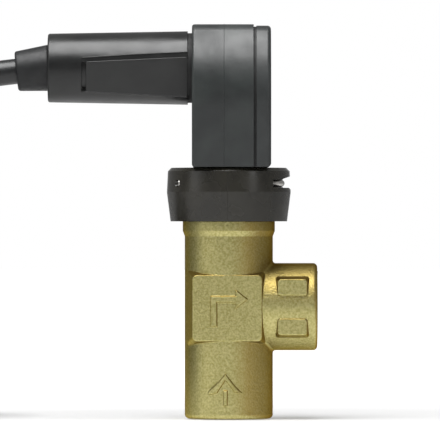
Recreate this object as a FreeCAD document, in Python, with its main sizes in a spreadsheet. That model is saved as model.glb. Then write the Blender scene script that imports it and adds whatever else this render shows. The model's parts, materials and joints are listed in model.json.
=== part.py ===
import FreeCAD, Part
import math
import os
import re

import Sketcher
from FreeCAD import Placement, Rotation, Vector

# Paddle flow switch for a half-inch brass tee, in millimetres.
# The origin is the centre of the inlet face, +Z runs up the tee, +X points out of the side port, and the plate
# on the tee faces -Y. Sizes named ..._x, ..._height or ..._base are places in that frame.
SIZES = {
    # tee body
    "run_radius": 13.0,
    "run_round": 1.3,
    "port_height": 33.0,
    "port_radius": 12.87,
    "port_reach": 26.1,
    "port_round": 1.2,
    "crotch_round": 0.8,
    "thread_radius": 10.48,
    "mouth_chamfer": 0.5,
    "inlet_thread_depth": 14.0,
    "outlet_thread_depth": 12.0,
    "water_radius": 8.0,
    "neck_radius": 13.6,
    "neck_ring_length": 2.8,
    "neck_bevel": 1.6,
    "neck_thread_radius": 12.9,
    "neck_bore_radius": 10.0,
    "neck_bore_depth": 18.5,
    "plate_width": 20.5,
    "plate_tall": 19.4,
    "plate_shift": 0.45,
    "plate_drop": 0.3,
    "plate_proud": 0.05,
    "plate_draft": 12.0,
    "plate_corner": 1.5,
    "pad_width": 8.6,
    "pad_tall": 4.8,
    "pad_reach": 18.7,
    "pad_offset": 5.8,
    "pad_proud": 0.1,
    "pad_corner": 1.0,
    "edge_round": 0.35,
    "relief": 0.5,
    "relief_line": 0.7,
    "relief_draft": 35.0,
    "arrow_shift": 1.0,
    "arrow_tip_height": 13.0,
    "arrow_half": 3.6,
    "arrow_rise": 4.7,
    "arrow_stem": 4.0,
    "bend_line": 1.5,
    "bend_half": 5.2,
    "bend_head": 3.0,
    # locking collar
    "collar_base": 58.2,
    "collar_tall": 15.8,
    "collar_top_radius": 18.0,
    "collar_ridge_radius": 18.3,
    "collar_ridge_drop": 7.1,
    "collar_base_radius": 17.2,
    "collar_chamfer": 1.0,
    "collar_engagement": 6.3,
    "slot_x": 13.0,
    "slot_lip": 0.8,
    "slot_corner": 0.6,
    "clip_drop": 4.6,
    "clip_wire_radius": 1.0,
    "clip_leg_offset": 10.0,
    "clip_bow_x": 15.4,
    "clip_tip_x": 14.8,
    "clip_play": 0.1,
    # paddle carrier in the neck
    "carrier_play": 0.1,
    "carrier_skirt": 1.0,
    "flange_radius": 12.4,
    "flange_thick": 2.0,
    "cavity_radius": 7.8,
    "cap_thick": 4.0,
    "seal_cord_radius": 0.88,
    "seal_play": 0.03,
    "hinge_drop": 12.5,
    "pin_radius": 1.0,
    "pin_fit": 0.01,
    "pin_run": 0.05,
    "pin_inset": 0.3,
    "lug_radius": 3.0,
    "lug_gap": 5.0,
    "washer_radius": 2.5,
    "washer_thick": 0.8,
    "side_play": 0.1,
    "return_magnet_radius": 1.9,
    "return_magnet_thick": 1.9,
    "return_magnet_x": 5.0,
    "magnet_play": 0.05,
    # paddle
    "hub_radius": 2.6,
    "arm_thick": 2.2,
    "arm_width": 4.0,
    "arm_below": 4.6,
    "plate_radius": 6.7,
    "blade_thick": 0.8,
    "rivet_radius": 0.7,
    "rivet_head_radius": 1.2,
    "rivet_head": 0.5,
    "rivet_pitch": 6.0,
    "magnet_radius": 2.4,
    "magnet_tall": 3.6,
    "magnet_cup_wall": 0.75,
    "magnet_rise": 5.0,
    "magnet_cap_thick": 0.6,
    # switch housing
    "head_gap": 0.2,
    "arch_radius": 20.9,
    "arch_rise": 21.1,
    "flank_angle": 8.75,
    "shoulder_angle": 46.0,
    "shoulder_radius": 6.3,
    "housing_back": 10.85,
    "housing_mouth": 7.3,
    "housing_wall": 2.0,
    "housing_round": 0.8,
    "cover_thick": 4.3,
    "cover_inset": 0.4,
    "cover_round": 1.1,
    "cover_skin": 2.1,
    "cover_rim": 2.4,
    "gasket_thick": 0.8,
    "gasket_inset": 0.7,
    "gasket_width": 1.2,
    "spigot_radius": 10.6,
    "spigot_long": 7.0,
    "spigot_hollow": 6.9,
    "spigot_floor": 1.2,
    "spigot_play": 0.1,
    "clip_groove_radius": 8.9,
    "head_seal_drop": 1.9,
    "head_seal_radius": 0.7,
    "boss_radius": 2.8,
    "boss_inset": 4.5,
    "boss_angle": 40.0,
    "low_boss_inset": 4.3,
    "low_boss_rise": 5.0,
    "cover_screw_radius": 1.5,
    "cover_screw_run": 0.2,
    "cover_screw_head": 2.7,
    "cover_screw_head_tall": 1.6,
    "cover_screw_long": 12.0,
    "cover_screw_sink": 2.0,
    "recess_half": 1.5,
    "recess_thick": 0.5,
    "recess_deep": 0.9,
    # circuit board
    "board_x": 0.0,
    "board_thick": 1.6,
    "board_side_play": 0.16,
    "board_top_drop": 7.2,
    "board_shoulder_rise": 3.3,
    "tongue_half": 5.2,
    "post_radius": 2.2,
    "post_half": 6.6,
    "post_rise": 14.0,
    "board_screw_radius": 0.95,
    "board_screw_head": 1.9,
    "board_screw_head_tall": 1.3,
    "board_screw_long": 5.0,
    "reed_radius": 1.1,
    "reed_long": 13.0,
    "reed_gap": 0.4,
    "reed_lead_radius": 0.25,
    "reed_lead_long": 1.5,
    "resistor_radius": 1.2,
    "resistor_long": 6.4,
    "resistor_rise": 19.5,
    "block_deep": 6.0,
    "block_half": 5.6,
    "block_above": 4.2,
    "block_below": 4.0,
    "terminal_pitch": 3.5,
    "core_hole_radius": 1.25,
    "core_hole_deep": 3.5,
    "terminal_screw_radius": 1.2,
    "terminal_screw_tall": 1.5,
    # cable tube, screwed into the housing's back
    "tube_drop": 12.7,
    "tube_base_radius": 10.86,
    "tube_tip_radius": 10.15,
    "tube_tip_x": 53.4,
    "tube_round": 0.6,
    "tube_thread_radius": 7.5,
    "tube_thread_play": 0.05,
    "tube_bore_radius": 7.4,
    "tube_passage_radius": 5.5,
    "tube_passage_long": 2.4,
    "tube_end_wall": 2.5,
    "tube_seal_thick": 1.3,
    "tube_seal_radius": 10.3,
    "locknut_radius": 9.6,
    "locknut_thick": 2.2,
    "flat_turn": 17.5,
    "flat_tip_depth": 1.05,
    "flat_base_depth": 2.06,
    "flat_start_x": 43.4,
    "flat_groove_wide": 1.35,
    "flat_groove_depth": 1.35,
    "bevel_turn": 27.5,
    "bevel_tip_depth": 0.05,
    "bevel_base_depth": 0.36,
    # cable
    "cable_radius": 3.75,
    "cable_play": 0.05,
    "cable_tilt": 6.0,
    "cable_bend_radius": 38.0,
    "jacket_end_x": 24.0,
    "core_radius": 1.1,
    "core_ring": 1.7,
    "clamp_x": 33.0,
    "clamp_long": 5.0,
    "clamp_slit": 1.5,
    "grommet_long": 9.4,
    "grommet_base_radius": 6.8,
    "grommet_tip_radius": 5.85,
    "grommet_round": 0.8,
    "grommet_neck_radius": 5.0,
    "bore_beyond": 5.0,
    "grommet_flange_radius": 6.4,
    "grommet_flange": 1.5,
    # cable put away on the floor
    "coil_x": -113.5,
    "coil_y": 24.0,
    "coil_radius": 37.6,
    "coil_layers": 6.0,
    "coil_lift": 1.0,
    "coil_edge": 2.0,
    "tie_thick": 0.7,
    "tie_width": 6.0,
    "tie_angle": -150.0,
    "tie_play": 0.2,
    "core_end_long": 18.0,
    "core_end_turn": 34.0,
    "ferrule_radius": 0.8,
    "ferrule_long": 7.0,
    "ferrule_collar_radius": 1.5,
    "ferrule_collar": 2.5,
}

# Places that follow from the sizes. Each is written with the sizes' own words.
WORKED_OUT = {
    "neck_top": "collar_base + collar_engagement",
    "flange_top": "neck_top + flange_thick",
    "cavity_top": "flange_top - cap_thick",
    "neck_floor": "neck_top - neck_bore_depth",
    "carrier_radius": "neck_bore_radius - carrier_play",
    "seat_radius": "carrier_radius + 2 * seal_cord_radius + 3 * seal_play",
    "seat_depth": "2 * seal_cord_radius + 2 * seal_play",
    "hinge_height": "neck_top - hinge_drop",
    "hub_half": "lug_gap - washer_thick - 2 * side_play",
    "magnet_floor": "hinge_height + magnet_rise",
    "magnet_cup_radius": "magnet_radius + magnet_play + magnet_cup_wall",
    "magnet_cup_top": "magnet_floor + magnet_tall + magnet_cap_thick",
    "blade_x": "0 - arm_thick / 2 - blade_thick",
    "collar_top": "collar_base + collar_tall",
    "clip_height": "collar_top - clip_drop",
    "leg_hole_radius": "clip_wire_radius + clip_play",
    "slot_mouth_x": "clip_bow_x + clip_wire_radius / 2",
    "slot_half": "clip_wire_radius + 0.3",
    "head_base": "collar_top + head_gap",
    "arch_height": "head_base + arch_rise",
    "side_radius": "(arch_radius - shoulder_radius * (1 - sin(shoulder_angle))) / sin(shoulder_angle)",
    "spigot_end": "head_base - spigot_long",
    "head_seal_height": "collar_top - head_seal_drop",
    "head_seal_ring": "spigot_radius + spigot_play - head_seal_radius - seal_play",
    "cover_x": "housing_mouth + gasket_thick",
    "cover_face_x": "cover_x + cover_thick",
    "screw_seat_x": "cover_face_x - cover_screw_sink",
    "housing_floor": "head_base + housing_wall",
    "inner_back_x": "housing_wall - housing_back",
    "boss_ring": "arch_radius - boss_inset",
    "boss_half": "boss_ring * cos(boss_angle)",
    "boss_height": "arch_height + boss_ring * sin(boss_angle)",
    "foot_half": "arch_radius - side_radius + side_radius / cos(flank_angle) - arch_rise * tan(flank_angle)",
    "low_boss_half": "foot_half - low_boss_inset",
    "low_boss_height": "head_base + low_boss_rise",
    "board_top": "arch_height + arch_radius - board_top_drop",
    "board_shoulder": "head_base + board_shoulder_rise",
    "board_half": "boss_half - boss_radius - board_side_play",
    "board_foot": "spigot_end + spigot_floor + 0.3",
    "post_height": "head_base + post_rise",
    "reed_x": "board_x - reed_gap - reed_radius",
    "reed_foot": "board_foot + reed_lead_long + reed_lead_radius",
    "resistor_height": "head_base + resistor_rise",
    "tube_height": "arch_height + arch_radius - tube_drop",
    "shoulder_x": "housing_back + tube_seal_thick",
    "thread_end_x": "housing_back - housing_wall - locknut_thick",
    "cable_hole_radius": "cable_radius + cable_play",
    "coil_top": "coil_lift + 2 * cable_radius * coil_layers",
}

doc = FreeCAD.newDocument("paddle_flow_switch")
sheet = doc.addObject("Spreadsheet::Sheet", "sizes")
for row, (word, number) in enumerate(SIZES.items(), start=1):
    sheet.set(f"A{row}", word)
    sheet.set(f"B{row}", str(number))
    sheet.setAlias(f"B{row}", word)
doc.recompute()

pieces = []


def spelled(text):
    """The expression text with its worked-out words written in full and its sizes read from the sheet."""

    def spell(match):
        word = match.group(0)
        if word in WORKED_OUT:
            return "(" + spelled(WORKED_OUT[word]) + ")"
        return "sizes." + word if word in SIZES else word

    return re.sub(r"[a-z][a-z_]*", spell, str(text))


def value(text):
    """The number that an expression of the sizes has now."""
    return float(sheet.evalExpression(spelled(text)))


def bind(thing, **properties):
    """Ties properties of an object to expressions of the sizes; a double underscore stands for a dot."""
    for name, text in properties.items():
        thing.setExpression(name.replace("__", "."), spelled(text))
    return thing


def put(thing, x="0", y="0", z="0", turn=None):
    """Places an object, turned first and then moved by three expressions."""
    if turn:
        thing.Placement = Placement(Vector(), turn)
    return bind(thing, Placement__Base__x=x, Placement__Base__y=y, Placement__Base__z=z)


def keep(thing, label):
    """Makes an object one of the sub-parts, under its own label."""
    thing.Label = label
    pieces.append(thing)
    return thing


ALONG_X = Rotation(Vector(0, 1, 0), 90)
ALONG_Y = Rotation(Vector(1, 0, 0), -90)


# ---- primitives and booleans ---------------------------------------------------------------------------------------
def cylinder(radius, tall, x="0", y="0", z="0", turn=None):
    made = doc.addObject("Part::Cylinder", "cylinder")
    return put(bind(made, Radius=radius, Height=tall), x, y, z, turn)


def box(long, wide, tall, x="0", y="0", z="0"):
    """A box whose lowest corner is at x, y, z."""
    made = doc.addObject("Part::Box", "box")
    return put(bind(made, Length=long, Width=wide, Height=tall), x, y, z)


def ring(ring_radius, cord_radius, z):
    made = doc.addObject("Part::Torus", "ring")
    return put(bind(made, Radius1=ring_radius, Radius2=cord_radius), z=z)


def joined(*things):
    made = doc.addObject("Part::MultiFuse", "joined")
    made.Shapes = list(things)
    return made


def cut(base, *tools):
    made = doc.addObject("Part::Cut", "cut")
    made.Base = base
    made.Tool = tools[0] if len(tools) == 1 else joined(*tools)
    return made


def group(*things):
    made = doc.addObject("Part::Compound", "group")
    made.Links = list(things)
    return made


def feature(shape, x=0.0, y=0.0, z=0.0):
    made = doc.addObject("Part::Feature", "feature")
    made.Shape = shape
    made.Placement = Placement(Vector(x, y, z), Rotation()).multiply(shape.Placement)
    return made


# ---- bodies and sketches -------------------------------------------------------------------------------------------
def new_body(label):
    return doc.addObject("PartDesign::Body", label)


def new_sketch(body, role, offset="0"):
    """A sketch on one of the body's own planes, moved along the plane's normal by an expression."""
    plane = next(f for f in body.Origin.OriginFeatures if f.Role == role)
    sketch = body.newObject("Sketcher::SketchObject", "sketch")
    sketch.AttachmentSupport = [(plane, "")]
    sketch.MapMode = "FlatFace"
    return bind(sketch, AttachmentOffset__Base__z=offset)


def fix(sketch, kind, where, text):
    """Adds a dimension that an expression of the sizes sets."""
    number = sketch.addConstraint(Sketcher.Constraint(kind, *where, value(text)))
    sketch.setExpression(f"Constraints[{number}]", spelled(text))


def outline(sketch, corners):
    """A closed straight-sided outline through corners, each an across and an up expression."""
    first, count = sketch.GeometryCount, len(corners)
    places = [Vector(value(across), value(up), 0) for across, up in corners]
    for i in range(count):
        sketch.addGeometry(Part.LineSegment(places[i], places[(i + 1) % count]), False)
    for i, (across, up) in enumerate(corners):
        following = first + (i + 1) % count
        sketch.addConstraint(Sketcher.Constraint("Coincident", first + i, 2, following, 1))
        fix(sketch, "DistanceX", (-1, 1, first + i, 1), across)
        fix(sketch, "DistanceY", (-1, 1, first + i, 1), up)
    return sketch


def circle(sketch, across, up, radius):
    number = sketch.GeometryCount
    centre = Vector(value(across), value(up), 0)
    sketch.addGeometry(Part.Circle(centre, Vector(0, 0, 1), value(radius)), False)
    fix(sketch, "DistanceX", (-1, 1, number, 3), across)
    fix(sketch, "DistanceY", (-1, 1, number, 3), up)
    fix(sketch, "Radius", (number,), radius)
    return sketch


def arch(sketch, inset, foot_inset=None):
    """The head's outline seen from its side, inset alike all round or with an inset of its own at the foot.

    From the foot up: a flat foot, two flanks that widen upwards, two bulging sides, two shoulders and a flat top.
    """
    foot = f"(head_base + {foot_inset or inset})"
    side, shoulder = f"(side_radius - {inset})", f"(shoulder_radius - {inset})"
    half = f"(arch_radius - side_radius + {side} / cos(flank_angle) - (arch_height - {foot}) * tan(flank_angle))"
    slope, turn = math.radians(value("flank_angle")), math.radians(value("shoulder_angle"))
    side_centre = Vector(value("arch_radius - side_radius"), value("arch_height"), 0)
    towards_shoulder = Vector(math.cos(turn), math.sin(turn), 0)
    shoulder_centre = side_centre + towards_shoulder * value("side_radius - shoulder_radius")
    spring = side_centre + Vector(math.cos(slope), -math.sin(slope), 0) * value(side)
    top = shoulder_centre + Vector(0, value(shoulder), 0)
    foot_corner = Vector(value(half), value(foot), 0)

    def mirrored(place):
        return Vector(-place.x, place.y, 0)

    def arc(centre, radius, start, end):
        return Part.ArcOfCircle(Part.Circle(centre, Vector(0, 0, 1), value(radius)), start, end)

    first = sketch.GeometryCount
    sketch.addGeometry(
        [
            arc(side_centre, side, -slope, turn),
            arc(shoulder_centre, shoulder, turn, math.pi / 2),
            Part.LineSegment(top, mirrored(top)),
            arc(mirrored(shoulder_centre), shoulder, math.pi / 2, math.pi - turn),
            arc(mirrored(side_centre), side, math.pi - turn, math.pi + slope),
            Part.LineSegment(mirrored(spring), mirrored(foot_corner)),
            Part.LineSegment(mirrored(foot_corner), foot_corner),
            Part.LineSegment(foot_corner, spring),
        ],
        False,
    )
    count = 8
    for i in range(count):
        kind = "Coincident" if i in (5, 6) else "Tangent"
        sketch.addConstraint(Sketcher.Constraint(kind, first + i, 2, first + (i + 1) % count, 1))
    for arc_number, across in ((first, "arch_radius - side_radius"), (first + 4, "side_radius - arch_radius")):
        fix(sketch, "DistanceX", (-1, 1, arc_number, 3), across)
        fix(sketch, "DistanceY", (-1, 1, arc_number, 3), "arch_height")
        fix(sketch, "Radius", (arc_number,), side)
    for arc_number in (first + 1, first + 3):
        fix(sketch, "Radius", (arc_number,), shoulder)
        fix(sketch, "DistanceY", (-1, 1, arc_number, 3), "arch_height + arch_radius - shoulder_radius")
    for across, corner in ((f"0 - {half}", first + 6), (half, first + 7)):
        fix(sketch, "DistanceX", (-1, 1, corner, 1), across)
        fix(sketch, "DistanceY", (-1, 1, corner, 1), foot)
    return sketch


def pad(body, sketch, long, back=False, both=False, draft=None):
    made = body.newObject("PartDesign::Pad", "pad")
    made.Profile = sketch
    made.Reversed = back
    made.Midplane = both
    bind(made, Length=long)
    return bind(made, TaperAngle=draft) if draft else made


def pocket(body, sketch, deep, forward=False, both=False):
    """Cuts against the sketch's normal, or along it if forward."""
    made = body.newObject("PartDesign::Pocket", "pocket")
    made.Profile = sketch
    made.Reversed = forward
    made.Midplane = both
    return bind(made, Length=deep)


def turned(body, corners, kind="PartDesign::Revolution", axis="V_Axis"):
    """Spins an outline of the XZ plane about one of that sketch's axes."""
    sketch = outline(new_sketch(body, "XZ_Plane"), corners)
    made = body.newObject(kind, "turned")
    made.Profile = sketch
    made.ReferenceAxis = (sketch, [axis])
    made.Angle = 360
    return made


def dress(body, kind, size, chosen):
    """Rounds or chamfers those edges of the body's last feature that chosen(edge) accepts."""
    base = body.Tip
    doc.recompute()
    names = [f"Edge{i}" for i, edge in enumerate(base.Shape.Edges, start=1) if chosen(edge)]
    made = body.newObject(kind, "dressed")
    made.Base = (base, names)
    return bind(made, Radius=size) if kind.endswith("Fillet") else bind(made, Size=size)


def circle_at(radius, **place):
    """Accepts round edges of one radius whose centre has the given coordinates."""

    def chosen(edge):
        curve = edge.Curve
        return (
            isinstance(curve, Part.Circle)
            and abs(curve.Radius - value(radius)) < 1e-4
            and all(abs(getattr(curve.Center, k) - value(v)) < 1e-4 for k, v in place.items())
        )

    return chosen


def edge_in_plane(axis, text):
    """Accepts edges that lie wholly in the plane where one coordinate has the given value."""

    def chosen(edge):
        low, high = getattr(edge.BoundBox, axis + "Min"), getattr(edge.BoundBox, axis + "Max")
        return abs(low - value(text)) < 1e-3 and abs(high - value(text)) < 1e-3

    return chosen


# ---- swept pieces --------------------------------------------------------------------------------------------------
ROUNDING = 0.45  # the share of the shorter run that an arc's tangent takes


def rounded_path(points, bend=None):
    """A wire of straight runs joined by tangent arcs, and the arcs' radii; bend is one radius for all of them."""
    edges, radii, start = [], [], points[0]
    for before, corner, after in zip(points, points[1:], points[2:]):
        come, leave = corner - before, after - corner
        half = come.getAngle(leave) / 2
        reach = bend * math.tan(half) if bend else ROUNDING * min(come.Length, leave.Length)
        come.normalize()
        leave.normalize()
        enter, depart = corner - come * reach, corner + leave * reach
        radius = reach / math.tan(half)
        inward = leave - come
        inward.normalize()
        middle = corner + inward * (radius / math.cos(half) - radius)
        edges += [Part.LineSegment(start, enter), Part.Arc(enter, middle, depart)]
        radii.append(radius)
        start = depart
    edges.append(Part.LineSegment(start, points[-1]))
    return Part.Wire([edge.toShape() for edge in edges]), radii


def swept(wire, radius):
    """A round bar of one radius along a wire."""
    start = wire.Edges[0]
    heading = start.tangentAt(start.FirstParameter)
    section = Part.Wire([Part.makeCircle(radius, start.valueAt(start.FirstParameter), heading)])
    return wire.makePipeShell([section], True, False)


# ---- tee body ------------------------------------------------------------------------------------------------------
def make_tee():
    tee = new_body("tee_casting")
    ring_base = "(collar_base - neck_ring_length)"
    turned(
        tee,
        [
            ("0", "0"),
            ("run_radius", "0"),
            ("run_radius", f"{ring_base} - neck_bevel"),
            ("neck_radius", ring_base),
            ("neck_radius", "collar_base"),
            ("neck_thread_radius", "collar_base"),
            ("neck_thread_radius", "neck_top"),
            ("0", "neck_top"),
        ],
    )
    pad(tee, circle(new_sketch(tee, "YZ_Plane"), "0", "port_height", "port_radius"), "port_reach")
    doc.recompute()
    dress(tee, "PartDesign::Fillet", "run_round", circle_at("run_radius", z="0"))
    dress(tee, "PartDesign::Fillet", "port_round", circle_at("port_radius", x="port_reach"))
    dress(tee, "PartDesign::Fillet", "crotch_round", in_crotch)
    middle = "(port_height - plate_drop)"
    plate = block_corners(
        "0 - plate_width / 2 - plate_shift",
        "plate_width / 2 - plate_shift",
        f"{middle} - plate_tall / 2",
        f"{middle} + plate_tall / 2",
    )
    raised_flat(tee, plate, "run_radius + plate_proud", "run_radius * 0.6", True, "plate_corner")
    for front in (True, False):
        for side in (1, -1):
            low = f"port_height + {side} * pad_offset - pad_tall / 2"
            flat = block_corners(
                "pad_reach - pad_width / 2", "pad_reach + pad_width / 2", low, f"{low} + pad_tall"
            )
            raised_flat(tee, flat, "port_radius + pad_proud", "port_radius * 0.4", front, "pad_corner")
    add_bend_arrow(tee, middle)
    bore_tee(tee)
    return keep(joined(tee, flow_arrow()), "brass_body")


def in_crotch(edge):
    """Accepts the edge where the side port meets the run."""
    box_ = edge.BoundBox
    tall = box_.ZLength > 1.9 * value("port_radius")
    curved = box_.XLength > 0.3 * value("run_radius")
    return tall and curved and box_.XMax < value("run_radius") + 0.1


def on_face(face, height, tall, rim):
    """Accepts edges of a raised flat whose face is the plane Y = face: its rim, or else its four drafted corners."""

    def chosen(edge):
        bounds = edge.BoundBox
        if abs(edge.CenterOfMass.z - height) > tall / 2 + 1.6:
            return False
        if rim:
            return abs(bounds.YMin - face) < 1e-3 and abs(bounds.YMax - face) < 1e-3
        touches = abs((bounds.YMin if face < 0 else bounds.YMax) - face) < 1e-3
        return touches and bounds.YLength > 0.5 and bounds.YLength > max(bounds.XLength, bounds.ZLength)

    return chosen


def raised_flat(tee, corners, depth, deep, front, corner_round):
    """A drafted flat that stands out of the casting, with rounded corners and a rounded rim."""
    sketch = new_sketch(tee, "XZ_Plane", depth if front else f"0 - ({depth})")
    pad(tee, outline(sketch, corners), deep, back=front, draft="plate_draft")
    face = value(depth) * (-1 if front else 1)
    heights = [value(up) for _, up in corners]
    place = (face, (max(heights) + min(heights)) / 2, max(heights) - min(heights))
    dress(tee, "PartDesign::Fillet", corner_round, on_face(*place, rim=False))
    dress(tee, "PartDesign::Fillet", "edge_round", on_face(*place, rim=True))


def block_corners(left, right, low, high):
    return [(left, low), (right, low), (right, high), (left, high)]


def add_bend_arrow(tee, middle):
    """A raised arrow on the plate that comes up and turns towards the side port."""
    sketch = new_sketch(tee, "XZ_Plane", "run_radius + plate_proud + relief")
    left, right = "(0 - bend_half)", "(bend_half - bend_head)"
    low, line = f"({middle} - bend_half)", f"({middle} + bend_half / 2)"
    outline(
        sketch,
        [
            (left, low),
            (f"{left} + bend_line", low),
            (f"{left} + bend_line", f"{line} - bend_line / 2"),
            (right, f"{line} - bend_line / 2"),
            (right, f"{line} - bend_head * 0.8"),
            ("bend_half", line),
            (right, f"{line} + bend_head * 0.8"),
            (right, f"{line} + bend_line / 2"),
            (left, f"{line} + bend_line / 2"),
        ],
    )
    pad(tee, sketch, "2 * relief", back=True, draft="relief_draft")


def flow_arrow():
    """Thin raised strokes that follow the round of the run: an open arrowhead and a short stem under it."""
    strokes = new_body("flow_arrow_strokes")
    deep = "run_radius + relief"
    tip, half = "arrow_tip_height", "arrow_half"
    foot, line = "(arrow_tip_height - arrow_rise)", "relief_line"
    head = [
        ("0", tip),
        (half, foot),
        (f"{half} - 1.2 * {line}", foot),
        ("0", f"{tip} - 1.6 * {line}"),
        (f"1.2 * {line} - {half}", foot),
        (f"0 - {half}", foot),
    ]
    stem = [
        (f"0 - {line} / 2", f"{foot} - arrow_stem"),
        (f"{line} / 2", f"{foot} - arrow_stem"),
        (f"{line} / 2", foot),
        (f"0 - {line} / 2", foot),
    ]
    for corners in (head, stem):
        shifted = [(f"{across} - arrow_shift", up) for across, up in corners]
        stroke = outline(new_sketch(strokes, "XZ_Plane", deep), shifted)
        pad(strokes, stroke, "3 * relief", back=True, draft="relief_draft")
    skin = cylinder("run_radius + relief", "neck_top")
    made = doc.addObject("Part::Common", "flow_arrow")
    made.Base, made.Tool = strokes, skin
    return made


def bore_tee(tee):
    """The waterway, both pipe threads' bores and the seat of the paddle carrier, cut last."""
    step = "(thread_radius - water_radius)"
    turned(
        tee,
        [
            ("0", "0"),
            ("thread_radius", "0"),
            ("thread_radius", "inlet_thread_depth"),
            ("water_radius", f"inlet_thread_depth + {step}"),
            ("water_radius", "neck_floor"),
            ("neck_bore_radius", "neck_floor"),
            ("neck_bore_radius", "neck_top - seat_depth"),
            ("seat_radius", "neck_top - seat_depth"),
            ("seat_radius", "neck_top"),
            ("0", "neck_top"),
        ],
        "PartDesign::Groove",
    )
    for radius, deep in (("water_radius", "port_reach"), ("thread_radius", "outlet_thread_depth")):
        mouth = new_sketch(tee, "YZ_Plane", "port_reach")
        pocket(tee, circle(mouth, "0", "port_height", radius), deep)
    dress(tee, "PartDesign::Chamfer", "mouth_chamfer", circle_at("thread_radius", x="port_reach"))


# ---- paddle carrier and what it holds ------------------------------------------------------------------------------
def make_carrier():
    carrier = new_body("paddle_carrier")
    turned(
        carrier,
        [
            ("carrier_radius", "neck_floor + carrier_skirt"),
            ("carrier_radius", "neck_top"),
            ("flange_radius", "neck_top"),
            ("flange_radius", "flange_top"),
            ("0", "flange_top"),
            ("0", "cavity_top"),
            ("cavity_radius", "cavity_top"),
            ("cavity_radius", "neck_floor + carrier_skirt"),
        ],
    )
    for side in (1, -1):
        lug = new_sketch(carrier, "XZ_Plane", f"{side} * lug_gap")
        circle(lug, "0", "hinge_height", "lug_radius")
        pad(carrier, lug, "(cavity_radius + carrier_radius) / 2 - lug_gap", back=side < 0)
    pin_hole = circle(new_sketch(carrier, "XZ_Plane"), "0", "hinge_height", "pin_radius + pin_fit")
    pocket(carrier, pin_hole, "3 * carrier_radius", both=True)
    nest = new_sketch(carrier, "XY_Plane", "flange_top")
    circle(nest, "return_magnet_x", "0", "return_magnet_radius + magnet_play")
    pocket(carrier, nest, "return_magnet_thick + magnet_play")
    keep(carrier, "paddle_carrier")
    seal_ring = "carrier_radius + seal_cord_radius + seal_play"
    keep(ring(seal_ring, "seal_cord_radius", "neck_top - seat_depth / 2"), "carrier_seal")
    half = "(carrier_radius - pin_inset)"
    pin = cylinder("pin_radius", f"2 * {half}", y=f"0 - {half}", z="hinge_height", turn=ALONG_Y)
    keep(pin, "hinge_pin")
    washers = [
        cut(*(cylinder(radius, "washer_thick", y=at, z="hinge_height", turn=ALONG_Y)
              for radius in ("washer_radius", "pin_radius + pin_run")))
        for at in ("hub_half + side_play", "0 - hub_half - side_play - washer_thick")
    ]
    keep(group(*washers), "thrust_washers")
    magnet = cylinder(
        "return_magnet_radius", "return_magnet_thick", "return_magnet_x", "0", "flange_top - return_magnet_thick"
    )
    keep(magnet, "return_magnet")


# ---- paddle --------------------------------------------------------------------------------------------------------
def make_paddle():
    """The lever swings on the pin; its lower end carries the blade and its upper end the magnet."""
    hub = cylinder("hub_radius", "2 * hub_half", y="0 - hub_half", z="hinge_height", turn=ALONG_Y)
    foot = "(port_height - arm_below)"
    arm = box(
        "arm_thick",
        "arm_width",
        f"magnet_floor - {foot}",
        "0 - arm_thick / 2",
        "0 - arm_width / 2",
        foot,
    )
    cup = cylinder("magnet_cup_radius", "magnet_cup_top - magnet_floor + 1", z="magnet_floor - 1")
    nest = cylinder("magnet_radius + magnet_play", "2 * magnet_tall", z="magnet_floor")
    bore = cylinder(
        "pin_radius + pin_run", "4 * hub_half", y="0 - 2 * hub_half", z="hinge_height", turn=ALONG_Y
    )
    rivet_heights = [f"port_height {sign} rivet_pitch / 2" for sign in "+-"]
    holes = [
        cylinder("rivet_radius + pin_fit", "4 * arm_thick", "0 - 2 * arm_thick", "0", height, ALONG_X)
        for height in rivet_heights
    ]
    keep(cut(joined(hub, arm, cup), nest, bore, *holes), "paddle_lever")
    blade = cylinder("plate_radius", "blade_thick", "blade_x", "0", "port_height", ALONG_X)
    blade_holes = [
        cylinder("rivet_radius + pin_fit", "4 * arm_thick", "0 - 2 * arm_thick", "0", height, ALONG_X)
        for height in rivet_heights
    ]
    keep(cut(blade, *blade_holes), "paddle_plate")
    rivets = [
        joined(
            cylinder("rivet_radius", "arm_thick + blade_thick", "blade_x", "0", height, ALONG_X),
            cylinder("rivet_head_radius", "rivet_head", "blade_x - rivet_head", "0", height, ALONG_X),
            cylinder("rivet_head_radius", "rivet_head", "arm_thick / 2", "0", height, ALONG_X),
        )
        for height in rivet_heights
    ]
    keep(group(*rivets), "paddle_rivets")
    keep(cylinder("magnet_radius", "magnet_tall", z="magnet_floor"), "lever_magnet")
    cap_height = "magnet_floor + magnet_tall"
    keep(cylinder("magnet_radius", "magnet_cap_thick", z=cap_height), "magnet_cap")


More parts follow.
